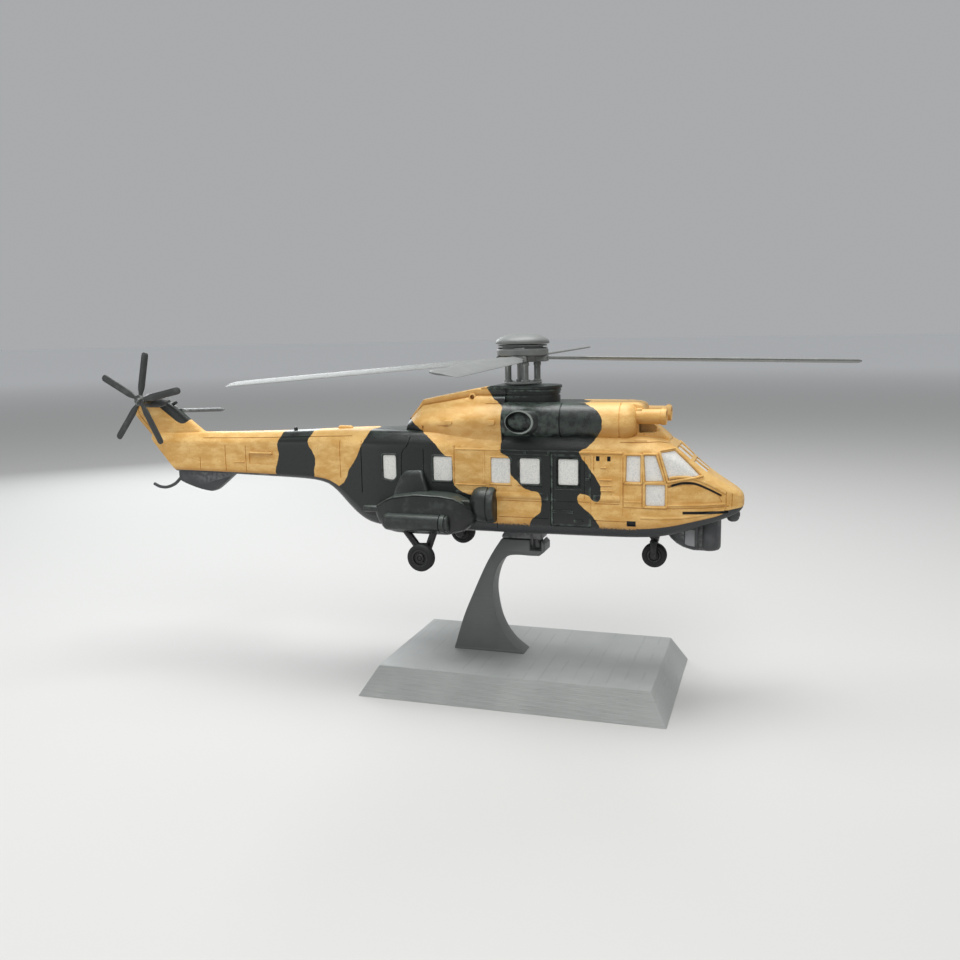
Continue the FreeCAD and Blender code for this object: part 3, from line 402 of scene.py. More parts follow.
class Wire:
    # the output of a shader node, ready for sums

    def __init__(self, socket):
        self.socket = socket

    def add(self, kind, inputs=(), output=0, **settings):
        tree = self.socket.id_data
        node = tree.nodes.new("ShaderNode" + kind)
        for key, value in settings.items():
            setattr(node, key, value)
        for key, value in dict(inputs).items():
            if isinstance(value, Wire):
                tree.links.new(value.socket, node.inputs[key])
            else:
                node.inputs[key].default_value = value
        return Wire(node.outputs[output])

    def sum(self, operation, *values):
        return self.add("Math", enumerate(values), operation=operation)

    def __add__(self, other):
        return self.sum("ADD", self, other)

    def __sub__(self, other):
        return self.sum("SUBTRACT", self, other)

    def __rsub__(self, other):
        return self.sum("SUBTRACT", other, self)

    def __mul__(self, other):
        return self.sum("MULTIPLY", self, other)

    def __truediv__(self, other):
        return self.sum("DIVIDE", self, other)

    __radd__ = __add__
    __rmul__ = __mul__

    def most(self, other):
        return self.sum("MAXIMUM", self, other)

    def size(self):
        return self.sum("ABSOLUTE", self)

    def wave(self):
        return self.sum("SINE", self)

    def above(self, low, high):
        # 0 below low, 1 above high
        return self.add("MapRange", {0: self, 1: low, 2: high}, interpolation_type="SMOOTHSTEP")

    def below(self, low, high):
        return 1 - self.above(low, high)

    def tint(self, first, second):
        # from the first colour to the second as the value goes from 0 to 1
        return self.add("Mix", {0: self, 6: first, 7: second}, output=2, data_type="RGBA")

    def grain(self, scale, detail=2.0, rough=0.5, stretch=(1, 1, 1)):
        spot = self if stretch == (1, 1, 1) else self.add(
            "VectorMath", {0: self, 1: stretch}, operation="MULTIPLY")
        return self.add("TexNoise", {"Vector": spot, "Scale": scale, "Detail": detail, "Roughness": rough})

    def follow(self, points, low, high):
        # a smooth line through pairs of this value and a result; the result lies from low to high
        first, last = points[0][0], points[-1][0]
        result = self.add("FloatCurve", {"Value": (self - first) / (last - first)})
        mapping = result.socket.node.mapping
        line = mapping.curves[0]
        for number, (value, answer) in enumerate(points):
            spot = ((value - first) / (last - first), (answer - low) / (high - low))
            if number in (0, len(points) - 1):
                line.points[0 if number == 0 else len(line.points) - 1].location = spot
            else:
                line.points.new(*spot)
        for point in line.points:
            point.handle_type = "AUTO_CLAMPED"
        mapping.update()
        return result * (high - low) + low


def shade(red, green, blue):
    # a colour picked on screen, as the shader wants it
    return tuple(((part / 255 + 0.055) / 1.055) ** 2.4 if part > 10 else part / 255 / 12.92
                 for part in (red, green, blue)) + (1.0,)


def newFinish(name):
    material = bpy.data.materials.new(name)
    material.use_nodes = True
    tree = material.node_tree
    tree.nodes.clear()
    surface = tree.nodes.new("ShaderNodeBsdfPrincipled")
    tree.links.new(surface.outputs[0], tree.nodes.new("ShaderNodeOutputMaterial").inputs[0])
    place = Wire(tree.nodes.new("ShaderNodeTexCoord").outputs["Object"])
    spot = place.add("VectorMath", {0: place, "Scale": 1 / mm}, operation="SCALE")
    parted = spot.add("SeparateXYZ", {0: spot}).socket.node
    return material, surface, spot, [Wire(parted.outputs[axis]) for axis in range(3)]


def put(surface, **wires):
    # joins wires to the shader's sockets, named with capitals and spaces there
    names = {"color": "Base Color", "rough": "Roughness", "normal": "Normal"}
    for key, value in wires.items():
        socket = surface.inputs[names[key]]
        if isinstance(value, Wire):
            surface.id_data.links.new(value.socket, socket)
        else:
            socket.default_value = value


def roughened(spot, height, depth):
    # depth in millimetres
    return spot.add("Bump", {"Height": height, "Distance": depth * mm, "Strength": 1.0})


# lighter sharp edges: paint wear on the painted pieces, a painted highlight on the stand
def edgeWearAndHighlight(spot, start, end):
    sharp = spot.add("NewGeometry", output="Pointiness")
    return sharp.above(start, end)


def facingUp(spot):
    # 1 where the surface looks straight up, -1 where it looks straight down
    way = spot.add("NewGeometry", output="Normal")
    return Wire(way.add("SeparateXYZ", {0: way}).socket.node.outputs[2])


# the lighter ochre, the deeper ochre and the worn dark colour also give the painted highlight on upward faces
# and the painted shade on downward faces
paintLook = {
    "ochre": shade(212, 162, 86), "ochreLightAndToplit": shade(236, 196, 126), "ochreDeepAndUndershade": shade(178, 126, 60),
    "dark": shade(28, 31, 30), "darkWornAndSheen": shade(92, 106, 98), "belly": shade(52, 53, 55),
    # slot is the painted shade inside slots, grooves and recesses
    "bellyWorn": shade(104, 104, 106), "slot": shade(24, 26, 27), "edge": 0.10, "wobble": 0.7,
    "lineWaves": 36.0, "lineDepth": 0.06, "depth": 0.05, "shine": 0.45,
}
# where painted shade darkens the nose groove, the strip and the small slots; each small one as x, z, half
# length, half height
slotPlaces = {
    "arcEnds": (49.4, 50.2, 64.6, 65.4), "stripHeight": 63.75, "stripEnds": (53.4, 53.7, 67.2, 67.6),
    "small": [(26.6, 80.8, 0.55, 0.75), (30.2, 80.8, 0.5, 0.75), (37.5, 59.8, 1.4, 0.85)], "edge": 0.1,
}
# where the dark patches begin and end along x at each height z
boomBand = {
    "rear": [(55, -95), (72.4, -94.2), (79, -92.6), (81.5, -93.2), (86.9, -92), (92, -92)],
    "front": [(55, -77.9), (72.1, -77.9), (76.9, -77.2), (79.8, -78.2), (83.6, -80.2), (87.7, -78.9),
              (92, -78.5)],
}
aftPatch = {
    "rear": [(55, -72), (67, -69), (69.3, -65.7), (71.1, -64.2), (74.1, -63), (78.2, -60), (82.4, -57.9),
             (86.5, -55.8), (92, -54)],
    "front": [(55, -9.5), (64.5, -9.5), (66.8, -12.5), (67.6, -17), (69.2, -21.2), (71.9, -23), (79.1, -23.2),
              (81.4, -26.7), (84, -29), (88, -34.6), (92, -41), (95, -50)],
}
midPatch = {
    "rear": [(52, 1.5), (56.9, 3.3), (59.9, 4.6), (62.4, 7.3), (65.9, 7.8), (68.9, 6.9), (70, 2.6), (72, 0.2),
             (75.1, -2.7), (80.3, -3.1), (82.2, -6), (96.7, -6.3), (100.1, -10.2), (106, -14)],
    "front": [(66, 27.4), (69.7, 27.7), (74.7, 25.8), (78.1, 23.3), (82.7, 20.7), (84.5, 23.3), (87.5, 25.9),
              (91.6, 28), (95.1, 26.9), (97.8, 22.9), (99.3, 17.5), (106, 16)],
    "low": [(52, 29.5), (58.3, 27.1), (62, 24.6), (64.7, 21.4), (66.4, 19.9), (68, 19.8), (69.2, 21),
            (71, 24)],
    "tongue": [(14, 69.2), (19.8, 69.1), (21.6, 68.9), (23.6, 68.2), (25.2, 67), (26.6, 66.7), (27.6, 67.4),
               (31, 69)],
}
finCap = [(-162, 104), (-149, 97), (-145.2, 94.2), (-141.2, 91.3), (-138, 89.2), (-136.4, 88.8),
          (-134.6, 89.4), (-131.5, 93)]
bellyLine = [(-160, 71), (-132, 71.2), (-90, 71.1), (-75, 70.6), (-70, 69.3), (-66, 66.8), (-60, 61.8),
             (-54, 58.4), (-20, 57.9), (27, 57.9), (39.8, 58.1), (47.2, 58.9), (56.9, 60.9), (65.2, 62.9),
             (67.5, 64.3), (73, 65.1)]
noseArc = [(49, 72), (51, 72.8), (54.4, 73.4), (57.2, 73.1), (60.9, 71.5), (65.4, 69)]


def camouflage():
    look = paintLook
    material, surface, spot, (x, y, z) = newFinish("camouflagePaint")
    soft = look["edge"]
    wobble = (spot.grain(0.55, 2.0) - 0.5) * look["wobble"]
    shift = y.above(1.0, 11.0) * (z.follow([(50, 7), (75, -5), (90, 6), (106, 2)], -10, 10))
    along = x + wobble + shift
    high = z + (spot.grain(0.6, 2.0, stretch=(1, 1, 1.7)) - 0.5) * look["wobble"]

    def edgeAt(points):
        return high.follow(points, -100, 40)

    def between(rear, front):
        start, end = edgeAt(rear), edgeAt(front)
        return (along - start).above(-soft, soft) * (end - along).above(-soft, soft)

    bands = between(boomBand["rear"], boomBand["front"]).most(between(aftPatch["rear"], aftPatch["front"]))
    pastRear = (along - edgeAt(midPatch["rear"])).above(-soft, soft)
    lobe = (edgeAt(midPatch["front"]) - along).above(-soft, soft)
    lobe = lobe * (high - along.follow(midPatch["tongue"], 60, 80)).above(-soft, soft)
    low = (edgeAt(midPatch["low"]) - along).above(-soft, soft) * high.below(69.6, 69.8)
    patches = bands.most(pastRear * lobe.most(low))
    cap = (z - x.follow(finCap, 80, 110)).above(-soft, soft) * x.below(-131, -130)
    patches = patches.most(cap)
    speckle = spot.grain(3.2, 3.0, 0.6)
    mottle = (speckle - 0.5) * (x.above(-9, -6) * x.below(38, 41) * 3.2 + 0.35)
    belly = (x.follow(bellyLine, 50, 80) - z + mottle).above(-soft, soft)
    # painted shade inside the nose groove, the strip and the small slots
    start, startFull, fade, end = slotPlaces["arcEnds"]
    arc = (z - x.follow(noseArc, 60, 80)).size().below(0.32, 0.55)
    dark = arc * x.above(start, startFull) * x.below(fade, end)
    start, startFull, fade, end = slotPlaces["stripEnds"]
    strip = (z - slotPlaces["stripHeight"]).size().below(0.42, 0.52)
    dark = dark.most(strip * x.above(start, startFull) * x.below(fade, end))
    for middle, height, half, halfHigh in slotPlaces["small"]:
        blur = slotPlaces["edge"]
        dark = dark.most((z - height).size().below(halfHigh, halfHigh + blur)
                         * (x - middle).size().below(half, half + blur))
    # the shaded corner under each intake tube
    recess = (z - 90.4).size().below(1.4, 2.0) * (x - 41.4).size().below(2.4, 3.0) * x.below(43.6, 44.0)
    recess = recess * (y.size() - 4.4).size().below(1.5, 1.8)
    paintedShade = (dark * y.size().above(5.5, 6.0)).most(recess)
    brushed = spot.grain(0.16, 4.0, 0.6, stretch=(1, 1, 2.4))
    ochre = brushed.above(0.35, 0.7).tint(look["ochre"], look["ochreLightAndToplit"])
    ochre = speckle.below(0.28, 0.42).tint(ochre, look["ochreDeepAndUndershade"])
    worn = edgeWearAndHighlight(spot, 0.53, 0.62) * spot.grain(0.5, 3.0).above(0.35, 0.62)
    ochre = (worn * 0.6).tint(ochre, look["ochreLightAndToplit"])
    # painted highlight on upward faces and painted shade on downward faces of the ochre
    up = facingUp(spot)
    ochre = (up.above(0.35, 0.95) * 0.55).tint(ochre, look["ochreLightAndToplit"])
    ochre = (up.below(-0.45, 0.12) * 0.75).tint(ochre, look["ochreDeepAndUndershade"])
    # painted sheen on the upward faces of the dark patches, broken up by grain
    toplitSheen = up.above(0.45, 0.95) * spot.grain(0.35, 3.0, 0.55, stretch=(0.4, 1, 1)).above(0.3, 0.62) * 0.5
    darkPaint = worn.most(speckle.above(0.66, 0.8) * 0.35).most(toplitSheen).tint(look["dark"], look["darkWornAndSheen"])
    bellyPaint = worn.most(speckle.above(0.55, 0.8) * 0.4).tint(look["belly"], look["bellyWorn"])
    color = paintedShade.tint(belly.tint(patches.tint(ochre, darkPaint), bellyPaint), look["slot"])
    rough = 0.46 + (speckle - 0.5) * 0.2 - patches * 0.16
    layers = (z * look["lineWaves"]).wave()
    height = speckle * 0.5 + layers * look["lineDepth"] + spot.grain(0.9, 3.0) * 0.6
    put(surface, color=color, rough=rough, normal=roughened(spot, height, look["depth"]))
    surface.inputs["Specular IOR Level"].default_value = look["shine"]
    return material


def plainPaint(name, base, worn, rough, wear=(0.53, 0.62), depth=0.045, scale=2.6, marks=None):
    # one brushed colour with lighter worn edges, a painted highlight on upward faces and fine grain
    material, surface, spot, (x, y, z) = newFinish(name)
    speckle = spot.grain(scale, 3.0, 0.6)
    clouds = spot.grain(0.22, 3.0)
    lift = edgeWearAndHighlight(spot, *wear) * spot.grain(0.6, 3.0).above(0.3, 0.6)
    lift = lift.most(speckle.above(0.62, 0.8) * 0.3).most(clouds.above(0.5, 0.75) * 0.22)
    paint, rubbedAndToplit = shade(*base), shade(*worn)
    shaded = tuple(part * 0.6 for part in paint[:3]) + (1,)
    color = (clouds.below(0.3, 0.5) * 0.35).tint(lift.tint(paint, rubbedAndToplit), shaded)
    # painted highlight: upward faces are lightened towards the worn colour
    color = (facingUp(spot).above(0.4, 0.95) * 0.35).tint(color, rubbedAndToplit)
    if marks:
        color = marks(x, y.size(), z, color)
    layers = (z * paintLook["lineWaves"]).wave() * paintLook["lineDepth"]
    height = speckle * 0.6 + spot.grain(0.8, 2.0) * 0.7 + layers
    put(surface, color=color, rough=rough + (speckle - 0.5) * 0.22, normal=roughened(spot, height, depth))
    return material


def paneFinish():
    material, surface, spot = newFinish("paneWhite")[:3]
    speckle = spot.grain(2.4, 3.0, 0.65)
    streak = spot.grain(0.35, 3.0, stretch=(1, 1, 0.4))
    color = speckle.above(0.35, 0.75).tint(shade(232, 230, 223), shade(200, 202, 203))
    color = (streak.above(0.52, 0.7) * 0.5).tint(color, shade(236, 234, 228))
    put(surface, color=color, rough=0.42 + (speckle - 0.5) * 0.2, normal=roughened(spot, speckle, 0.03))
    return material


exhaustLook = {"x": 0.45, "z": 92.3, "long": 4.6, "high": 3.65, "boreShade": shade(9, 10, 10),
               "lip": shade(158, 166, 160)}


def exhaustMarks(x, away, z, color):
    # painted shade inside the exhaust and a brushed lip round it; out is 1 on the lip
    look = exhaustLook
    across, up = (x - look["x"]) / look["long"], (z - look["z"]) / look["high"]
    out = across * across + up * up
    near = away.above(10.4, 10.6) * away.below(14.6, 14.8)
    # painted shade darkens the inside of the bore
    color = (out.below(0.84, 0.92) * near).tint(color, look["boreShade"])
    brushed = out.above(0.86, 0.95) * out.below(1.12, 1.3) * away.above(13.7, 14.1) * near * 0.7
    return brushed.tint(color, look["lip"])


turretLook = {"x": 55.4, "half": 1.5, "top": 57.0, "away": 5.0, "window": shade(138, 139, 141)}


def turretMarks(x, away, z, color):
    # the paler window on each side of the chin turret
    look = turretLook
    window = (x - look["x"]).size().below(look["half"], look["half"] + 0.1)
    window = window * z.below(look["top"], look["top"] + 0.2)
    return (window * (away - look["away"]).size().below(0.15, 0.25)).tint(color, look["window"])


standLook = {"plastic": shade(152, 155, 153), "shadow": shade(122, 125, 123), "bright": shade(178, 180, 178),
             "ribPitch": 5.4, "strandPitch": 0.42, "layerPitch": 0.24, "depth": 0.035, "shine": 0.5}
# the arm gets a darker copy of the stand plastic: painted shade for the helicopter's shadow that falls on it
armShadedLook = dict(standLook, plastic=shade(88, 91, 90), shadow=shade(70, 73, 72), bright=shade(112, 115, 113))


def standFinish(name, look):
    material, surface, spot, (x, y, z) = newFinish(name)
    facing = facingUp(spot).above(0.9, 0.97)
    strand = ((y + x * 0.02) * (2 * math.pi / look["strandPitch"])).wave()
    layer = (z * (2 * math.pi / look["layerPitch"])).wave()
    uneven = x + spot.grain(0.07) * 1.5
    ribs = uneven.sum("PINGPONG", uneven, look["ribPitch"] / 2)
    ribs = ribs.below(0.05, 0.5) * spot.grain(0.09, 2.0).above(0.42, 0.6)
    clouds = spot.grain(0.055, 3.0, 0.55)
    speckle = spot.grain(3.0, 2.0)
    color = (clouds.above(0.3, 0.75) * 0.45).tint(look["plastic"], look["bright"])
    color = (ribs * facing * 0.3).tint(color, look["shadow"])
    drawn = spot.grain(0.3, 3.0, 0.6, stretch=(0.25, 1, 9)).above(0.55, 0.75)
    color = (drawn * (1 - facing) * 0.35).tint(color, look["shadow"])
    # painted highlight along the stand's sharp edges
    color = (edgeWearAndHighlight(spot, 0.53, 0.6) * 0.5).tint(color, look["bright"])
    height = strand * facing * 0.35 + layer * (1 - facing) * 0.7 + speckle * 0.6 - ribs * facing * 0.4
    put(surface, color=color, rough=0.4 + (clouds - 0.5) * 0.2, normal=roughened(spot, height, look["depth"]))
    surface.inputs["Specular IOR Level"].default_value = look["shine"]
    return material


finishes = {
    "camo": camouflage(),
    "sponson": plainPaint("sponsonPaint", (30, 33, 32), (104, 116, 109), 0.36, marks=exhaustMarks),
    "belly": plainPaint("bellyPaint", (60, 61, 63), (112, 112, 114), 0.45, marks=turretMarks),
    "pane": paneFinish(),
    "gear": plainPaint("gearPaint", (16, 17, 17), (70, 72, 70), 0.36, wear=(0.56, 0.68)),
    "tyre": plainPaint("tyreRubber", (14, 15, 15), (44, 46, 46), 0.62, wear=(0.56, 0.7), depth=0.06),
    "rotor": plainPaint("rotorPaint", (104, 107, 105), (156, 159, 156), 0.42, wear=(0.55, 0.66)),
    "tail": plainPaint("tailRotorPaint", (44, 46, 46), (118, 121, 118), 0.4, wear=(0.53, 0.62)),
    "stand": standFinish("standPlastic", standLook),
    "arm": standFinish("armPlasticShaded", armShadedLook),
    "bush": plainPaint("bushPlastic", (70, 72, 71), (110, 112, 110), 0.5),
}
print("finishes made:", len(finishes))


def settle(piece, body, finish, *stands, angle=30.0):
    # the last step for each piece: real size, smooth shading, finish, body and the nodes that it stands for
    mesh = piece.data
    mesh.transform(Matrix.Scale(mm, 4))
    mesh.shade_smooth()
    mesh.set_sharp_from_angle(angle=math.radians(angle))
    mesh.materials.clear()
    mesh.materials.append(finishes[finish])
    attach(piece, body)
    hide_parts(*stands)
    return piece


def settlePair(piece, finish, node, name, angle=30.0):
    # the starboard piece of the airframe and its mirror image
    other = twin(name + "Left", piece)
    piece.name = name + "Right"
    settle(piece, "airframe", finish, node + "_right", angle=angle)
    settle(other, "airframe", finish, node + "_left", angle=angle)


# the stand

baseSizes = {"length": 104.0, "width": 66.0, "height": 9.6, "bevel": 5.7, "layers": 40, "ridge": 0.035,
             "corner": 0.5, "waviness": 0.05, "edgeSteps": 24, "slot": (-23.0, -5.0, 2.5, 5.0)}


def makeStandBase():
    size = baseSizes
    rings = []
    for layer in range(size["layers"] + 1):
        for part, swell in ((0.08, -1), (0.5, 1), (0.92, -1)):
            level = layer + part
            if level > size["layers"]:
                break
            height = size["height"] * level / size["layers"]
            inset = size["bevel"] * level / size["layers"] - swell * size["ridge"]
            if layer == 0 and part < 0.1:
                height, inset = 0.0, 0.12
            halfX, halfY = size["length"] / 2 - inset, size["width"] / 2 - inset
            ring = []
            corners = rounded([(-halfX, -halfY), (halfX, -halfY), (halfX, halfY), (-halfX, halfY)],
                              size["corner"], 4)
            corners.append(corners[0])
            for start, end in zip(corners[:-1], corners[1:]):
                steps = size["edgeSteps"] if (Vector(end) - Vector(start)).length > 5 else 1
                for step in range(steps):
                    spot = Vector(start).lerp(Vector(end), step / steps)
                    wave = 0.0 if steps == 1 else size["waviness"] * (
                        math.sin(spot.x * 0.31 + layer * 1.9) * math.sin(spot.y * 0.27 + layer * 0.7))
                    ring.append((spot.x * (1 - wave / 60), spot.y * (1 - wave / 30), height))
            rings.append(ring)
    rings[-1] = [(x * 0.994, y * 0.991, size["height"]) for x, y, _ in rings[-1]]
    base = loft("standBase", rings)
    rear, ahead, half, deep = size["slot"]
    top = size["height"]
    carve(base, block("slotCutter", (rear, -half, top - deep), (ahead, half, top + 1.0)))
    settle(base, "stand", "stand", "stand_base", angle=40)


armSizes = {
    "half": 4.0, "soft": 0.35, "notch": (1.25, 5.35, 46.9), "hook": [(6.6, 46.8), (6.6, 49.3)], "top": 50.6,
    "front": [(-1.0, 9.6), (-4.9, 12.4), (-8.2, 16.2), (-10.8, 21.6), (-12.2, 28.4), (-12.3, 33.4),
              (-11.2, 38.4), (-9.3, 42.2), (-6.6, 44.6), (-3.0, 45.2), (1.2, 45.1), (4.7, 45.2)],
    "back": [(-8.9, 50.6), (-12.4, 45.2), (-15.4, 39.6), (-19.3, 31.0), (-23.3, 21.4), (-27.0, 9.6)],
    "tenon": ((-22.9, -2.4, 4.8), (-5.1, 2.4, 10.6)),
}


def makeStandArm():
    size = armSizes
    front, back = through(size["front"], 60), through(size["back"], 40)
    rear, ahead, floor = size["notch"]
    notch = [(ahead, size["top"]), (ahead, floor), (rear, floor), (rear, size["top"])]
    outline = [tuple(point) for point in front] + size["hook"] + notch + [tuple(point) for point in back]
    arm = plate("standArm", outline, -size["half"], size["half"], "xz", size["soft"], 3)
    tenon = block("armTenon", *size["tenon"], 0.3)
    settle(merge("standArm", [arm, tenon]), "stand", "arm", "stand_arm", angle=40)


makeStandBase()
makeStandArm()
print("stand made")


# the fuselage, its glazing and its doors

hullSizes = {"rings": 250, "groove": 0.34, "grooveDepth": 0.3, "paneDepth": 0.42, "paneGap": 0.06,
             "doorDepth": 0.42, "corner": 0.7, "outside": 0.9}
cabinPanes = [
    [(-48.9, 72.0), (-45.1, 71.4), (-43.9, 72.7), (-43.9, 80.2), (-48.9, 80.2)],
    [(-30.1, 71.9), (-23.3, 71.9), (-23.3, 80.2), (-30.1, 80.2)],
    [(-9.5, 71.7), (-2.8, 71.7), (-2.8, 80.2), (-9.5, 80.2)],
    [(0.4, 71.7), (7.3, 71.7), (7.3, 80.3), (0.4, 80.3)],
]
doorPane = [(13.4, 71.7), (20.1, 71.7), (20.1, 80.3), (13.4, 80.3)]
nosePanes = [
    [(35.7, 73.5), (40.3, 73.5), (40.3, 81.9), (35.9, 81.9)],
    [(41.9, 73.8), (47.7, 74.0), (45.0, 82.1), (41.4, 82.1)],
    [(49.3, 74.2), (58.9, 75.9), (51.0, 83.7), (46.6, 83.1)],
    [(42.0, 65.9), (48.1, 65.9), (48.1, 72.7), (42.0, 72.7)],
]
doorOutline = [(10.8, 57.8), (24.4, 57.8), (24.4, 82.0), (10.8, 82.0)]
# outline, corner radius and depth of each sunk panel and slot
sunkPanels = [
    (doorOutline, 0.5, 1.6),
    ([(49.6, 66.9), (65.6, 66.9), (64.6, 69.0), (60.8, 71.3), (57.2, 72.8), (54.2, 73.0), (50.4, 72.3)], 0.5,
     0.3),
    ([(-105.6, 74.7), (-95.0, 74.7), (-95.0, 78.5), (-105.6, 78.5)], 0.4, 0.35),
    ([(26.1, 80.1), (27.1, 80.1), (27.1, 81.5), (26.1, 81.5)], 0.3, 0.7),
    ([(29.7, 80.1), (30.7, 80.1), (30.7, 81.5), (29.7, 81.5)], 0.3, 0.7),
    ([(36.2, 59.0), (38.8, 59.0), (38.8, 60.6), (36.2, 60.6)], 0.3, 0.7),
]
# the two starboard windscreen openings: rear, front, outer and inner edges and the lowest height
screenPlaces = [(51.1, 55.5, -6.7, -0.7, 70.0), (56.4, 60.6, -5.7, -0.7, 66.0)]
grooves = [
    [(-7.7, 56.2), (-7.7, 71.2)], [(25.3, 76.8), (25.3, 81.8)], [(-22.4, 71.0), (-22.4, 84.0)],
    [(-57.6, 66.4), (-57.6, 84.6)], [(-33.6, 71.6), (-33.6, 82.6)], [(-66.6, 71.2), (-66.6, 84.6)],
    [(-39.0, 86.6), (-39.6, 83.6), (-41.6, 80.6), (-41.9, 71.6)],
    [(-7.2, 66.0), (9.6, 66.0)], [(25.6, 66.0), (33.6, 66.0)], [(-22.2, 66.1), (-8.4, 66.1)],
    [(-7.2, 60.4), (10.2, 60.4)], [(25.0, 60.4), (38.0, 60.4)],
    [(-10.2, 71.0), (-2.2, 71.0)], [(-0.2, 71.0), (8.6, 71.0)], [(-30.6, 71.2), (-22.8, 71.2)],
    [(35.0, 65.1), (48.0, 65.1), (60.0, 65.3), (67.6, 65.6)],
    [(-116.0, 71.6), (-116.0, 81.4)], [(-107.0, 71.6), (-107.0, 81.4)], [(-127.6, 71.8), (-127.6, 76.4)],
    [(-62.0, 86.1), (-82.0, 85.2), (-104.0, 84.3), (-126.5, 83.7)],
    [(33.6, 86.0), (40.0, 86.0), (46.0, 86.2), (49.0, 85.6)],
    [(40.9, 65.6), (40.9, 83.0)], [(34.9, 73.0), (34.9, 65.2)],
    [(66.6, 64.8), (66.7, 70.2)], [(68.4, 64.9), (68.5, 69.6)],
]
ledges = [
    # path, width and height of the rounded bars that stand proud of the skin
    ([(-22.0, 67.7), (10.2, 67.7)], 2.3, 0.34), ([(25.2, 67.7), (33.8, 67.7)], 2.3, 0.3),
    ([(34.3, 62.4), (34.3, 81.2)], 0.7, 0.3), ([(48.8, 66.1), (57.0, 66.2), (66.4, 66.4)], 0.7, 0.4),
    ([(20.6, 82.7), (34.6, 82.7)], 0.9, 0.5), ([(-22.2, 82.9), (-6.8, 82.9)], 0.7, 0.3),
    ([(-12.0, 71.6), (-12.0, 82.0)], 0.8, 0.32), ([(-22.0, 70.9), (-11.4, 70.9)], 0.5, 0.3),
    ([(27.6, 77.9), (29.4, 77.9)], 0.6, 0.45), ([(27.2, 73.9), (31.2, 73.9)], 0.6, 0.5),
    ([(27.4, 72.1), (31.2, 72.1)], 0.6, 0.5), ([(27.6, 70.4), (31.4, 70.4)], 0.6, 0.5),
    ([(49.4, 74.9), (52.6, 75.3), (56.6, 74.9), (61.6, 72.8), (66.4, 69.8)], 0.9, 0.3),
    ([(38.1, 86.6), (42.0, 86.6)], 0.5, 0.25), ([(-111.8, 75.2), (-107.6, 75.2)], 0.5, 0.4),
    ([(35.2, 72.7), (40.5, 72.7)], 0.5, 0.3), ([(35.2, 67.0), (40.6, 67.0)], 0.5, 0.25),
    ([(40.4, 61.9), (48.0, 61.9), (57.0, 62.6), (66.0, 64.4)], 0.9, 0.28),
]
fin = {
    "front": [(-119.0, 75.0), (-124.2, 84.4), (-127.9, 86.0), (-132.6, 89.5), (-141.0, 95.9), (-143.4, 97.0)],
    "rear": [(-138.9, 70.4), (-145.4, 77.7), (-148.6, 81.3), (-152.1, 85.2), (-158.2, 92.1), (-156.6, 97.0)],
    "thick": [2.4, 2.1, 1.9, 1.75, 1.6, 1.5], "levels": 40,
    "behind": [(-138.9, 70.4), (-136.8, 68.0), (-136.8, 50.0), (-175.0, 50.0), (-175.0, 100.0),
               (-156.6, 97.0), (-158.4, 94.4), (-157.6, 91.4)],
}
# share of the way back and of the half thickness, with the rudder line
finSection = [(0.0, 0.0), (0.004, 0.35), (0.03, 0.62), (0.08, 0.82), (0.16, 0.95), (0.3, 1.0), (0.5, 1.0),
              (0.7, 0.92), (0.86, 0.8), (0.865, 0.55), (0.89, 0.55), (0.895, 0.76), (0.97, 0.66), (1.0, 0.4),
              (1.0, 0.0)]


def ringedPane(outline, gap):
    # the same outline, moved out by the gap
    middle = np.mean(outline, axis=0)
    return [tuple(np.array(corner) + np.sign(np.array(corner) - middle) * gap) for corner in outline]


def skinCore(lift):
    # the starboard half of the nose, moved in by the lift, as a solid
    spots = np.linspace(0, 9, 110)
    surface = np.tensordot(lengthWeights(len(stations), spots), skinRings, axes=1)
    rings = np.array([sideWeights[::2] @ ring for ring in surface])
    out = np.cross(np.gradient(rings, axis=0), np.gradient(rings, axis=1))
    length = np.linalg.norm(out, axis=2)[:, :, None]
    out = out / np.where(length > 1e-6, length, 1)
    if out[60, 60, 2] < 0:
        out = -out
    moved = rings + out * lift
    moved[:, 0, 1], moved[:, -1, 1] = 0.5, 0.5
    return loft("core", moved[12:].tolist())


def makeHalfHull():
    size = hullSizes
    spots = np.linspace(0, len(stations) - 3, size["rings"])
    surface = np.tensordot(lengthWeights(len(stations), spots), skinRings, axes=1)
    rings = [sideWeights[::2] @ ring for ring in surface]
    hull = loft("hull", [[(x, min(y, 0.0), z) for x, y, z in ring] for ring in rings])
    levels, count = [], fin["levels"]
    front, rear = through(fin["front"], count), through(fin["rear"], count)
    thick = np.interp(np.linspace(0, 1, count), np.linspace(0, 1, len(fin["thick"])), fin["thick"])
    for ahead, behind, half in zip(front, rear, thick):
        spots = [ahead + (behind - ahead) * share for share, wide in finSection]
        levels.append([(x, -half * wide, z) for (x, z), (share, wide) in zip(spots, finSection)])
    carve(hull, loft("finHalf", levels), "UNION")
    carve(hull, plate("behindFin", fin["behind"], -25.0, 25.0))
    return hull


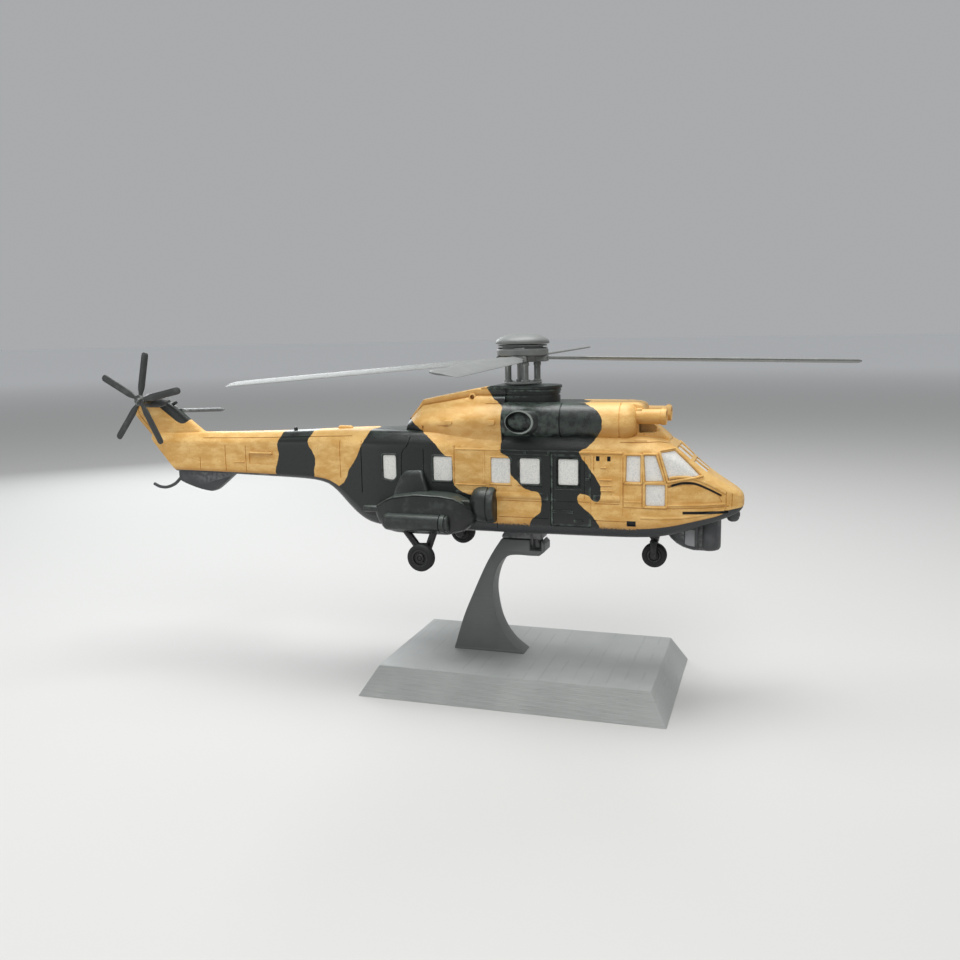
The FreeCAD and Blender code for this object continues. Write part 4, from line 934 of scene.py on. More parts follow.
def makeFuselage():
    size = hullSizes
    hull = makeHalfHull()
    print("hull half made")
    deep = -size["paneDepth"] - 0.6
    out = size["outside"]
    cutters = [skinPatch("cutter", rounded(pane, size["corner"], 3), out, deep) for pane in cabinPanes]
    cutters += [skinPatch("cutter", rounded(pane, 0.5, 3), out, deep) for pane in nosePanes]
    cutters += [skinPatch("cutter", rounded(panel, corner, 3), out, -sunk)
                for panel, corner, sunk in sunkPanels]
    carve(hull, merge("openings", cutters))
    inner = skinCore(-size["paneDepth"] - 0.5)
    for rear, ahead, outer, middle, low in screenPlaces:
        screen = block("cutter", (rear, outer, low), (ahead, middle, 92.0))
        carve(screen, duplicate("innerCopy", inner))
        carve(hull, screen)
    discard(inner)
    lines = [skinBar("cutter", path, size["groove"], out, -size["grooveDepth"]) for path in grooves]
    lines += [skinBar("cutter", [(x - 0.05, z) for x, z in noseArc], 0.75, out, -0.75),
              skinBar("cutter", [(53.6, 63.7), (60.0, 63.75), (67.3, 63.9)], 0.85, out, -0.6)]
    carve(hull, merge("panelLines", lines), overlaps=True)
    print("hull openings and panel lines cut:", len(hull.data.vertices), "points")
    trims = [skinBar("ledge", path, width, height, -0.4, soft=True) for path, width, height in ledges]
    for pane in nosePanes:
        trims.append(skinFrame("paneFrame", rounded(ringedPane(pane, 0.45), 0.6, 3), 0.75, 0.5))
    for pane in cabinPanes:
        trims.append(skinFrame("paneFrame", rounded(ringedPane(pane, 0.3), 0.7, 3), 0.5, 0.2))
    half = merge("fuselageHalf", [hull] + trims)
    settlePair(half, "camo", "fuselage", "fuselage", 32)


def makeGlazing():
    size = hullSizes
    gap, deep = size["paneGap"], -size["paneDepth"] - 0.55
    cabin = [skinPatch("pane", rounded(ringedPane(pane, -gap), size["corner"], 4), -size["paneDepth"] + 0.12,
                       deep, crown=0.12) for pane in cabinPanes]
    cabin.append(skinPatch("pane", rounded(ringedPane(doorPane, -gap), 0.5, 4), -size["doorDepth"] - 0.25,
                           -size["doorDepth"] - 0.9, crown=0.1))
    settlePair(merge("cabinPanes", cabin), "pane", "cabin_panes", "cabinPanes", 40)
    nose = [skinPatch("pane", rounded(ringedPane(pane, -gap), 0.45, 4), -size["paneDepth"] + 0.1, deep,
                      crown=0.12) for pane in nosePanes]
    settlePair(merge("cockpitPanes", nose), "pane", "cockpit_panes", "cockpitPanes", 40)
    outer, inner = skinCore(-size["paneDepth"] + 0.05), skinCore(-size["paneDepth"] - 0.45)
    screens = []
    for rear, ahead, side, middle, low in screenPlaces:
        pane = block("screen", (rear + 0.1, side + 0.1, low), (ahead - 0.1, middle - 0.1, 92.0))
        carve(pane, duplicate("outerCopy", outer), "INTERSECT")
        carve(pane, duplicate("innerCopy", inner))
        screens.append(soften(pane, 0.08, 2, 40))
    discard(outer)
    discard(inner)
    ports = [twin("screenPort", pane) for pane in screens]
    settle(merge("windscreen", screens + ports), "airframe", "pane", "windscreen", angle=40)


doorSizes = {
    "gap": 0.12, "leaf": 1.6, "root": 0.4,
    "lines": [[(11.6, 66.3), (23.8, 66.3)], [(11.8, 81.2), (11.8, 58.6)], [(22.2, 81.2), (22.2, 67.2)]],
    # rear end, front end, height above the belly, width, how far each bar stands out of the leaf
    "bars": [(11.3, 18.4, 62.9, 0.8, 0.25), (18.7, 21.5, 59.9, 0.8, 0.55), (12.6, 21.4, 70.6, 0.7, 0.25),
             (22.6, 24.0, 73.8, 0.9, 0.6)],
}


def makeDoor():
    size, depth = doorSizes, hullSizes["doorDepth"]
    outline = rounded(ringedPane(doorOutline, -size["gap"]), 0.4, 3)
    leaf = skinPatch("doorLeaf", outline, -depth, -size["leaf"])
    carve(leaf, skinPatch("cutter", rounded(doorPane, 0.55, 4), 0.5, -depth - 0.5))
    lines = [skinBar("cutter", path, 0.3, 0.5, -depth - 0.25) for path in size["lines"]]
    carve(leaf, merge("doorLines", lines), overlaps=True)
    trims = [skinBar("ledge", [(rear, z), (ahead, z)], width, out - depth, -depth - size["root"], soft=True)
             for rear, ahead, z, width, out in size["bars"]]
    trims.append(skinFrame("ledge", rounded(ringedPane(doorPane, 0.35), 0.7, 3), 0.5, 0.12 - depth))
    leaf = merge("door", [leaf] + trims)
    settlePair(leaf, "camo", "cabin_door", "cabinDoor")
    rails = [skinBar("rail", [(-6.2, 82.9), (24.6, 82.9)], 0.55, 0.5, -0.4, soft=True),
             skinBar("rail", [(-6.2, 81.6), (10.4, 81.6)], 0.45, 0.36, -0.4, soft=True)]
    rails += [skinBar("rail", [(x, 82.3), (x + 0.7, 82.3)], 1.1, 0.42, -0.3, soft=True)
              for x in (-6.2, 2.0, 10.0)]
    rails += [twin("railPort", rail) for rail in rails]
    settle(merge("doorRails", rails), "airframe", "camo", "door_rails")


makeFuselage()
makeGlazing()
makeDoor()
print("fuselage, glazing and doors made")


# deck, cowl, pylon, engines

deckSizes = {"rear": -5.8, "front": 40.4, "half": 6.6, "top": 98.2, "low": 84.6, "wellX": -1.6,
             "wellRadius": 3.02}
pylonLevels = [(97.0, 0.0), (100.3, 0.0), (100.4, -0.3), (100.9, -0.3), (101.0, 0.0), (101.8, 0.0),
               (101.85, 0.22), (102.35, 0.22), (102.4, 0.0), (102.75, 0.0)]
fairingSections = [(36.5, 5.6, 92.0), (41.4, 5.6, 91.9), (42.9, 5.5, 91.3), (44.8, 5.2, 89.9),
                   (46.6, 4.9, 88.5), (47.8, 4.7, 87.5), (48.5, 4.5, 86.6)]
# rear end, how far the edge swells and height
capLevels = [(-14.5, -0.25, 102.7), (-14.5, -0.04, 102.82), (-14.2, 0.0, 103.0), (-12.2, 0.0, 103.45),
             (-11.0, -0.06, 103.66), (-10.5, -0.3, 103.8)]
cowlPorts = [(-17.6, 99.9, 0.85, 1.6)]                        # x, z, radius, depth
cowlScoops = [(-24.7, 91.7), (-9.2, 91.9)]                       # x, z
cowlLines = [(-12.4, -6.6, 97.9), (-31.0, -25.0, 90.4)]          # rear end, front end, height
cowlFields = {
    # x, top, half width of the top, crease half width and height, side half width and height
    "x": [-43.0, -41.9, -38.4, -36.5, -36.0, -26.0, -16.0, -5.8],
    "top": [88.2, 92.2, 96.2, 98.7, 99.0, 101.0, 102.9, 102.9],
    "roof": [2.4, 2.9, 3.6, 3.9, 4.0, 5.1, 6.1, 6.35],
    "fold": [4.0, 4.6, 5.5, 5.9, 6.0, 7.5, 8.6, 8.9],
    "foldZ": [87.7, 90.8, 93.6, 94.9, 95.1, 96.3, 97.3, 97.5],
    "side": [5.0, 6.2, 7.9, 8.7, 8.9, 10.9, 12.1, 12.4],
    "sideZ": [87.2, 89.4, 90.6, 91.1, 91.2, 92.1, 93.0, 93.3],
    "lip": [0.0, 0.1, 0.3, 0.5, 0.55, 0.6, 0.6, 0.6],
}


def makeUpperWorks():
    size = deckSizes
    deck = plate("engineDeck", [
        (size["rear"], size["low"]), (size["front"], size["low"]), (size["front"], size["top"] - 2.6),
        (size["front"] - 0.3, size["top"] - 1.3), (size["front"] - 1.1, size["top"] - 0.4),
        (size["front"] - 2.6, size["top"]), (size["rear"], size["top"])],
        -size["half"], size["half"], "xz", 0.5, 3)
    plan = [(-6.4, -6.3)] + [(5.6 + 5.7 * math.sin(angle), -6.3 * math.cos(angle))
                             for angle in np.linspace(0, math.pi, 25)] + [(-6.4, 6.3)]
    levels = []
    for height, swell in pylonLevels:
        levels.append([(x + (swell if x > 5.6 else 0), y * (1 + swell / 6.3), height) for x, y in plan])
    sections = []
    for x, half, top in fairingSections:
        corners = rounded([(-half, size["low"]), (half, size["low"]), (half, top), (-half, top)], 1.3, 5)
        sections.append([(x, y, z) for y, z in corners])
    fairing = soften(loft("fairing", sections), 0.25, 2, 50)
    seams = [block("seam", (x, -3.4, 98.95), (x + 0.3, 3.4, 99.6)) for x in (14.6, 26.0, 33.2)]
    carve(deck, merge("seams", seams))
    for side in (-1, 1):
        low, high = sorted((side * 2.7, side * 7.4))
        carve(fairing, block("pocket", (38.0, low, 88.6), (44.4, high, 92.6), 0.4))
        carve(deck, block("pocket", (38.7, low, 88.6), (44.4, high, 92.4), 0.4))
    whole = merge("engineDeck", [deck, loft("pylon", levels), fairing])
    well = lathe("well", [(0, 94.0), (size["wellRadius"], 94.0), (size["wellRadius"], 106.0), (0, 106.0)],
                 (size["wellX"], 0, 0))
    carve(whole, duplicate("wellCopy", well), overlaps=True)
    settle(whole, "airframe", "camo", "engine_deck", angle=35)
    levels = []
    for rear, grow, height in capLevels:
        front = [(5.4 + (6.5 + grow) * math.sin(angle), -(6.9 + grow) * math.cos(angle))
                 for angle in np.linspace(0, math.pi, 33)]
        levels.append([(x, y, height) for x, y in [(rear, -6.9 - grow)] + front + [(rear, 6.9 + grow)]])
    cap = loft("pylonCap", levels)
    carve(cap, well)
    settle(cap, "airframe", "camo", "pylon_cap", angle=40)
    bush = lathe("rotorBush", [(1.56, 94.9), (2.98, 94.9), (2.98, 103.7), (2.8, 103.9), (1.9, 103.9),
                               (1.56, 103.7)],
                 (size["wellX"], 0, 0), closed=True)
    settle(bush, "airframe", "bush", "rotor_bush", angle=40)


def cowlSection(x):
    value = {key: float(np.interp(x, cowlFields["x"], cowlFields[key])) for key in cowlFields}
    roof, top, lip = value["roof"], value["top"], value["lip"]
    upper = [(0.0, top), (roof * 0.6, top), (roof, top - 0.08), (roof + lip, top - 0.5 * max(lip, 0.2)),
             (roof + lip, top - 2.2 * lip - 0.2), (roof + lip * 0.5, top - 3.2 * lip - 0.25),
             (roof + 0.12, top - 3.6 * lip - 0.3)]
    lower = through([upper[-1], (0.5 * (roof + value["fold"]), 0.45 * top + 0.55 * value["foldZ"] - 0.1),
                     (value["fold"], value["foldZ"]), (0.45 * value["fold"] + 0.55 * value["side"],
                                                       0.5 * (value["foldZ"] + value["sideZ"]) + 0.15),
                     (value["side"], value["sideZ"]), (value["side"] - 0.1, 0.5 * (value["sideZ"] + 87.4)),
                     (value["side"] - 0.7, 87.0), (value["side"] - 0.9, 84.8)], 30)
    half = upper[:-1] + [tuple(point) for point in lower]
    return [(x, -y, z) for y, z in half] + [(x, y, z) for y, z in half[:0:-1]]


def cowlSide(x, z):
    # the starboard face of the cowl at x and z
    half = [point[1:] for point in cowlSection(x) if point[1] <= 0][::-1]
    heights, sides = [height for y, height in half], [y for y, height in half]
    order = np.argsort(heights)
    return float(np.interp(z, np.array(heights)[order], np.array(sides)[order]))


def makeRearCowl():
    marks = cowlFields["x"]
    stops = sorted(set(np.linspace(marks[0], marks[-1], 58).round(3)) | set(marks))
    cowl = loft("rearCowl", [cowlSection(x) for x in stops])
    cutters = []
    for x, z, radius, deep in cowlPorts:
        side = cowlSide(x, z)
        hole = [(0, side - 1), (radius, side - 1), (radius, side + deep), (0, side + deep)]
        cutters.append(lathe("cutter", hole, (x, 0, z), "y", 24))
    side = cowlSide(-34.9, 89.2)
    cutters.append(block("cutter", (-35.3, side - 1, 88.2), (-34.6, side + 0.6, 90.2)))
    for start, end, z in cowlLines:
        side = cowlSide((start + end) / 2, z)
        cutters.append(block("cutter", (start, side - 1.2, z - 0.16), (end, side + 0.3, z + 0.16)))
    for tool in cutters:
        carve(cowl, twin("cutterPort", tool))
        carve(cowl, tool)
    bumps = []
    for x, z in cowlScoops:
        side = cowlSide(x, z)
        scoop = [(x - 1.3, z - 0.7), (x + 0.9, z - 0.75), (x + 1.3, z), (x + 0.9, z + 0.75),
                 (x - 1.3, z + 0.7)]
        scoop = rounded(scoop, 0.25, 3)
        bumps.append(plate("scoop", scoop, side - 0.75, side + 1.0, "xz", 0.22, 3))
    for x, z, radius, deep in cowlPorts:
        side = cowlSide(x, z)
        rim = [(radius - 0.05, side - 0.3), (radius + 0.35, side - 0.3), (radius + 0.45, side - 0.1),
               (radius + 0.45, side + 0.6), (radius - 0.05, side + 0.6)]
        bumps.append(lathe("rim", rim, (x, 0, z), "y", 28, closed=True))
    bumps += [twin("bumpPort", bump) for bump in bumps]
    settle(merge("rearCowl", [cowl] + bumps), "airframe", "camo", "rear_cowl", angle=28)


engineSizes = {"y": -6.9, "z": 92.3, "radius": 6.05, "rear": -5.8, "front": 38.4, "seams": (13.9, 33.3),
               "shoulder": 3.4, "seamDepth": 0.28, "intakeZ": 94.0}


def makeNacelle():
    size = engineSizes
    radius, front, shoulder = size["radius"], size["front"], size["shoulder"]
    profile, sunk = [(0, size["rear"]), (radius, size["rear"])], radius - size["seamDepth"]
    for seam in size["seams"]:
        profile += [(radius, seam - 0.25), (sunk, seam - 0.1), (sunk, seam + 0.1), (radius, seam + 0.25)]
    for angle in np.linspace(0, math.pi / 2, 9):
        profile.append((radius - shoulder * (1 - math.cos(angle)),
                        front - shoulder + shoulder * math.sin(angle) * 0.99))
    profile += [(1.6, front + 0.02), (0, front + 0.02)]
    nacelle = lathe("nacelle", profile, (0, size["y"], size["z"]), "x", 72)
    settlePair(nacelle, "camo", "nacelle", "nacelle")


# distance out, middle along x, half length and half height, from the root over the lip and down the bore
exhaustRings = [(-9.4, 1.95, 6.2, 4.4), (-11.0, 1.95, 6.05, 4.25), (-12.2, 1.75, 5.8, 4.15),
                (-13.2, 1.35, 5.4, 4.05), (-14.0, 0.85, 5.0, 3.95), (-14.3, 0.6, 4.75, 3.8),
                (-14.4, 0.45, 4.45, 3.55), (-14.2, 0.4, 4.2, 3.3), (-13.4, 0.45, 4.0, 3.1),
                (-12.2, 0.6, 3.7, 2.8), (-11.0, 0.9, 3.1, 2.3), (-10.7, 1.0, 1.5, 1.2)]


def makeExhaust():
    rings = []
    for out, middle, long, high in exhaustRings:
        ring = []
        for angle in np.linspace(0, 2 * math.pi, 64, endpoint=False):
            cosine, sine = math.cos(angle), math.sin(angle)
            ring.append((middle + long * cosine, out, engineSizes["z"] + high * sine * (1 + 0.08 * cosine)))
        rings.append(ring)
    pipe = loft("exhaust", rings)
    settlePair(pipe, "sponson", "exhaust", "exhaust", 40)


# radius and place along x, over the rim and down the bore
intakeProfile = [(0, 36.2), (2.35, 36.2), (2.42, 40.0), (2.42, 45.7), (2.46, 45.9), (2.62, 46.05),
                 (2.66, 46.3), (2.64, 47.4), (2.45, 47.7), (2.0, 47.7), (1.75, 47.4), (1.68, 46.8),
                 (1.6, 41.4), (0.9, 41.0), (0, 41.0)]


def makeIntake():
    size = engineSizes
    tube = lathe("intake", intakeProfile, (0, size["y"], size["intakeZ"]), "x", 48)
    height = size["intakeZ"]
    y = size["y"]
    clips = [block("clip", (46.1, y - 0.5, height + 2.3), (47.3, y + 0.5, height + 2.85), 0.12),
             block("clip", (38.0, y - 1.5, height + 1.2), (40.0, y + 1.5, height + 2.7), 0.4)]
    settlePair(merge("intake", [tube] + clips), "camo", "intake", "intake", 35)


makeUpperWorks()
makeRearCowl()
makeNacelle()
makeExhaust()
makeIntake()
print("upper works made")


# sponsons, pods and fairings

sponsonShape = {
    "top": [(-50.4, 61.8), (-48.9, 63.6), (-45.6, 65.6), (-42.5, 67.0), (-34.3, 68.2), (-24.9, 67.9),
            (-20.6, 67.3), (-17.4, 65.7), (-15.2, 63.2), (-14.2, 60.8)],
    "low": [(-50.4, 60.8), (-48.6, 57.3), (-45.6, 54.9), (-42.5, 54.3), (-38.3, 54.0), (-23.3, 54.1),
            (-17.6, 55.7), (-15.2, 58.0), (-14.2, 60.2)],
    "out": [(-50.4, -17.2), (-48.6, -19.0), (-45.6, -20.2), (-42.0, -20.6), (-22.0, -20.6), (-18.4, -20.2),
            (-16.2, -19.2), (-15.0, -18.0), (-14.2, -16.2)],
    "slices": 60, "middle": -32.3, "reach": 18.1, "root": -8.9,
    "spike": [(-46.5, -17.4, 62.3), (-50.5, -18.0, 62.3), (-54.0, -18.2, 62.2)], "spikeRadius": 1.15,
    "light": [(-18.4, -18.9, 66.0), (-15.3, -18.4, 66.0)], "lightRadius": 0.5,
}


def makeSponson():
    shape = sponsonShape
    rings = []
    for share in np.linspace(0, math.pi, shape["slices"]):
        x = shape["middle"] - shape["reach"] * math.cos(share)
        top, low, out = (float(np.interp(x, *zip(*shape[key]))) for key in ("top", "low", "out"))
        deep = top - low
        ring = [(-9.0, top + 0.25), (-13.0, top + 0.22), (out + 2.2, top + 0.12), (out + 0.75, top - 0.02),
                (out + 0.15, top + 0.02), (out - 0.1, top - 0.22), (out + 0.05, top - 0.5),
                (out + 0.3, top - 0.75), (out + 0.22, top - 0.3 * deep), (out + 0.2, top - 0.55 * deep),
                (out + 0.5, low + 0.22 * deep), (out + 1.2, low + 0.07 * deep),
                (out + 2.4, low + 0.015 * deep), (-13.0, low), (-9.0, low)]
        rings.append([(x, min(y, shape["root"]), z) for y, z in ring])
    body = loft("sponson", rings)
    spike = rod("spike", shape["spike"], shape["spikeRadius"], 20, 0.35)
    light = rod("light", shape["light"], shape["lightRadius"], 12, 0.4)
    settlePair(merge("sponson", [body, spike, light]), "sponson", "sponson", "sponson", 28)


bagSizes = {"y": -19.75, "z": 58.5, "rear": -46.3, "front": -21.9, "radius": 3.05}


def makeFloatBag():
    size = bagSizes
    rear, front, radius = size["rear"], size["front"], size["radius"]
    profile = [(0, rear), (radius - 1.9, rear + 0.05), (radius - 0.9, rear + 0.45),
               (radius - 0.25, rear + 1.2), (radius, rear + 2.2), (radius, -25.5), (radius - 0.3, -25.35),
               (radius - 0.3, -25.15), (radius + 0.12, -25.0), (radius + 0.12, -23.6),
               (radius - 0.2, -23.45), (radius - 0.2, -23.2), (radius - 0.1, front - 0.7),
               (radius - 0.7, front - 0.2), (radius - 1.5, front), (0, front)]
    bag = lathe("floatBag", profile, (0, size["y"], size["z"]), "x", 48)
    settlePair(bag, "sponson", "float_bag", "floatBag", 35)


podSizes = {
    "y": -11.6, "z": 64.2,
    # radius and place along x
    "profile": [(0, -16.9), (3.6, -16.6), (5.2, -15.6), (6.0, -14.2), (6.3, -12.6), (6.3, -10.6),
                (6.05, -10.45), (6.05, -10.2), (6.3, -10.05), (6.25, -8.9), (5.9, -8.1), (5.2, -7.8),
                (3.0, -7.7), (0, -7.7)],
    # height, rear end, front end and half width of the fairing above each sponson, its slope and its corners
    "fairing": [(66.4, -44.2, -31.2, 15.6), (68.6, -43.7, -31.5, 15.5), (71.4, -42.6, -32.5, 15.0),
                (73.4, -41.7, -33.3, 14.5), (74.6, -40.9, -33.8, 13.8), (75.2, -39.9, -34.4, 13.2)],
    "slope": 0.06, "slopeFrom": 72, "middle": -37.5, "inner": -11.4, "corner": 1.1,
}


def makePods():
    size = podSizes
    pod = lathe("sponsonPod", size["profile"], (0, size["y"], size["z"]), "x", 56)
    settlePair(pod, "sponson", "sponson_pod", "sponsonPod", 35)
    levels, inner = [], size["inner"]
    for height, rear, front, out in size["fairing"]:
        ring = rounded([(rear, inner), (rear, -out), (front, -out), (front, inner)], size["corner"], 4)
        slope = size["slope"] if height > size["slopeFrom"] else 0.0
        levels.append([(x, y, height + (x - size["middle"]) * slope) for x, y in ring])
    fairing = loft("fairing", levels)
    port = twin("fairingPort", fairing)
    settle(merge("sponsonFairings", [fairing, port]), "airframe", "sponson", "sponson_fairings", angle=40)


makeSponson()
makeFloatBag()
makePods()
print("sponsons made")


# nose and belly fittings

# height, rear end, front end and half width
turretLevels = [(49.65, 57.0, 62.2, 1.7), (49.95, 54.6, 63.2, 3.2), (50.7, 52.4, 64.0, 4.3),
                (51.8, 50.5, 64.5, 5.0), (53.4, 48.7, 64.8, 5.6), (55.2, 47.4, 64.9, 6.0),
                (58.0, 46.6, 65.0, 6.3), (60.8, 46.6, 65.0, 6.4)]


turretSizes = {"squareness": 0.82, "drumX": 61.1, "sensorX": 68.6, "windowX": 70.5, "windowZ": 61.9}


def makeNoseFittings():
    size = turretSizes
    rings = []
    for height, rear, front, half in turretLevels:
        middle, reach, ring = (rear + front) / 2, (front - rear) / 2, []
        for angle in np.linspace(0, 2 * math.pi, 56, endpoint=False):
            cosine, sine = math.cos(angle), math.sin(angle)
            ring.append((middle + reach * math.copysign(abs(cosine) ** size["squareness"], cosine),
                         half * math.copysign(abs(sine) ** size["squareness"], sine), height))
        rings.append(ring)
    turret = loft("chinTurret", rings)
    carve(turret, block("cutter", (58.0, -8.0, 40.0), (70.0, 8.0, 70.0)))
    for side in (-1, 1):
        low, high = sorted((side * 5.0, side * 9.0))
        carve(turret, block("facet", (53.6, low, 50.9), (57.2, high, 66.0), 0.25))
    drum = lathe("drum", [(0, 49.7), (2.6, 49.75), (3.4, 50.1), (3.8, 50.8), (3.85, 52.0), (3.85, 66.0),
                          (0, 66.0)],
                 (size["drumX"], 0, 0), "z", 56)
    neck = block("neck", (56.0, -3.4, 49.95), (61.0, 3.4, 66.0), 0.3)
    turret = merge("chinTurret", [turret, drum, neck])
    soften(turret, 0.15, 2, 50)
    settle(turret, "airframe", "belly", "chin_turret", angle=30)
    sensor = lathe("noseSensor", [(0, 59.5), (0.9, 59.55), (1.5, 59.85), (1.95, 60.5), (2.05, 61.2),
                                  (2.1, 63.6), (2.1, 66.4), (0, 66.4)], (size["sensorX"], 0, 0), "z", 40)
    window = lathe("window", [(0, -0.3), (0.75, -0.3), (0.75, 0.15), (0.62, 0.3), (0.5, 0.3), (0.45, 0.1),
                              (0, 0.1)],
                   (size["windowX"], 0, size["windowZ"]), "x", 28)
    settle(merge("noseSensor", [sensor, window]), "airframe", "belly", "nose_sensor", angle=40)


gearSizes = {"noseX": 43.4, "noseZ": 46.9, "mainX": -31.7, "mainY": -22.2, "mainZ": 47.0, "legY": -18.6,
             "axle": 0.78}
# radius of the tyre, radius of the rim, width
mainTyre = (4.7, 2.9, 3.4)
noseTyre = (4.15, 2.3, 3.2)
wheelBolts = {"count": 5, "circle": 1.75, "smallestRim": 2.6, "profile": [
    (0, -0.25), (0.22, -0.25), (0.22, 0.2), (0.12, 0.3), (0, 0.3)]}


def makeLegs():
    size = gearSizes
    x, z = size["noseX"], size["noseZ"]
    pieces = [lathe("strut", [(0, 51.4), (1.2, 51.4), (1.3, 51.9), (1.3, 52.5), (1.62, 52.7), (1.75, 53.1),
                              (1.75, 56.0), (0, 56.0)], (x, 0, 0), "z", 32),
              block("bridge", (x - 1.3, -2.7, 51.35), (x + 1.3, 2.7, 52.15), 0.25),
              rod("axle", [(x, -2.75, z), (x, 2.75, z)], size["axle"], 20, 0.25)]
    for side in (-1, 1):
        cheek = rounded([(x - 1.0, z - 1.0), (x + 1.0, z - 1.0), (x + 1.0, 51.9), (x - 1.0, 51.9)], 0.8, 4)
        inner, outer = sorted((side * 1.95, side * 2.7))
        pieces.append(plate("cheek", cheek, inner, outer, "xz", 0.12))
    settle(merge("noseLeg", pieces), "airframe", "gear", "nose_leg", angle=35)
    x, z, legY, axle = size["mainX"], size["mainZ"], size["legY"], size["axle"]
    pieces = [rod("strut", [(x - 6.9, legY, 55.6), (x - 0.5, legY, z + 0.2)], 1.25, 20, 0.4),
              rod("strut", [(x + 3.6, legY, 55.6), (x + 0.4, legY, z + 0.2)], 1.25, 20, 0.4),
              rod("brace", [(x - 3.4, legY, 50.6), (x + 2.0, legY, 50.8)], 0.55, 14, 0.2),
              lathe("knuckle", [(0, -20.15), (1.3, -20.15), (1.65, -19.9), (1.7, -17.8), (1.4, -17.4),
                                (0, -17.4)],
                    (x, 0, z), "y", 32),
              lathe("axle", [(0, -24.05), (0.6, -24.05), (axle, -23.8), (axle, legY), (0, legY)],
                    (x, 0, z), "y", 24)]
    settlePair(merge("mainLeg", pieces), "gear", "main_leg", "mainLeg", 35)


def makeWheel(name, nodeStart, body, place, radius, rimRadius, width):
    half = width / 2
    tread = []
    for start in (-0.5, -0.05, 0.4):
        rib = start * half
        tread += [(radius - 0.03, rib), (radius - 0.2, rib + 0.06), (radius - 0.2, rib + 0.2),
                  (radius - 0.03, rib + 0.26)]
    profile = [(rimRadius + 0.02, -half + 0.32), (rimRadius + 0.35, -half + 0.06), (radius - 1.2, -half),
               (radius - 0.65, -half + 0.18), (radius - 0.25, -half + 0.5)] + tread + [
               (radius - 0.25, half - 0.5), (radius - 0.65, half - 0.18), (radius - 1.2, half),
               (rimRadius + 0.35, half - 0.06), (rimRadius + 0.02, half - 0.32)]
    tyre = lathe(name + "Tyre", profile, place, "y", 56, closed=True)
    settle(tyre, body, "tyre", nodeStart + "_tyre", angle=35)
    bore = 0.86
    rim = lathe("rim", [(bore, -half - 0.02), (1.35, -half - 0.02), (1.5, -half + 0.12), (1.6, -half + 0.75),
                        (rimRadius - 0.75, -half + 0.8), (rimRadius - 0.55, -half + 0.3),
                        (rimRadius, -half + 0.22), (rimRadius, half - 0.22), (rimRadius - 0.55, half - 0.3),
                        (rimRadius - 0.75, half - 0.8), (1.6, half - 0.75), (1.5, half - 0.12),
                        (1.35, half + 0.02), (bore, half + 0.02)],
                place, "y", 48, closed=True)
    bolts = []
    for side in (-1, 1) if rimRadius > wheelBolts["smallestRim"] else ():
        for step in range(wheelBolts["count"]):
            angle = 2 * math.pi * step / wheelBolts["count"] + 0.3
            spot = (place[0] + wheelBolts["circle"] * math.cos(angle), place[1] + side * (half - 0.7),
                    place[2] + wheelBolts["circle"] * math.sin(angle))
            profile = [(across, side * out) for across, out in wheelBolts["profile"]]
            bolts.append(lathe("bolt", profile, spot, "y", 12))
    settle(merge(name + "Rim", [rim] + bolts), body, "gear", nodeStart + "_rim", angle=35)


makeNoseFittings()
makeLegs()
for side, way in (("right", 1), ("left", -1)):
    hubPlace = (gearSizes["mainX"], way * gearSizes["mainY"], gearSizes["mainZ"])
    makeWheel("main" + side.title(), "main_" + side, "main_wheel_" + side, hubPlace, *mainTyre)
makeWheel("nose", "nose", "nose_wheel", (gearSizes["noseX"], 0.0, gearSizes["noseZ"]), *noseTyre)


supportSizes = {"saddle": [(-8.8, 50.9), (5.6, 50.9), (5.6, 55.6), (-6.2, 55.6), (-8.8, 51.8)], "half": 3.6,
                "pegX": 3.3, "peg": [(0, 47.2), (1.35, 47.2), (1.75, 47.6), (1.75, 51.9), (0, 51.9)]}


def makeSupport():
    size = supportSizes
    saddle = plate("saddle", size["saddle"], -size["half"], size["half"], "xz", 0.4, 3)
    peg = lathe("peg", size["peg"], (size["pegX"], 0, 0), "z", 32)
    settle(merge("supportBlock", [saddle, peg]), "airframe", "belly", "support_block", angle=40)


makeSupport()
print("nose fittings, legs and wheels made")


# tail fittings

tailFittings = {
    "keel": [(-139.4, 71.6), (-139.5, 68.2), (-138.6, 66.5), (-132.0, 64.1), (-126.2, 63.0), (-123.4, 63.4),
             (-119.8, 66.0), (-116.6, 68.6), (-112.6, 71.6)], "keelHalf": 1.5,
    "skid": [(-137.2, 69.3), (-139.6, 67.6), (-142.6, 65.0), (-146.3, 63.6), (-149.6, 63.7), (-152.3, 64.9)],
    "skidRadius": 0.62, "pod": [(0, -155.8), (1.1, -155.6), (1.8, -154.8), (2.2, -153.2), (2.3, -151.0),
                                (2.3, -147.0), (2.15, -145.0), (1.7, -143.4), (1.0, -142.7), (0, -142.6)],
    "podZ": 96.6, "boss": [(0, -6.6), (1.2, -6.6), (1.55, -6.2), (1.6, -3.4), (2.1, -2.2), (2.1, 0), (0, 0)],
    "bore": [(0, -9.0), (0.86, -9.0), (0.86, -2.3), (0, -2.3)],
}
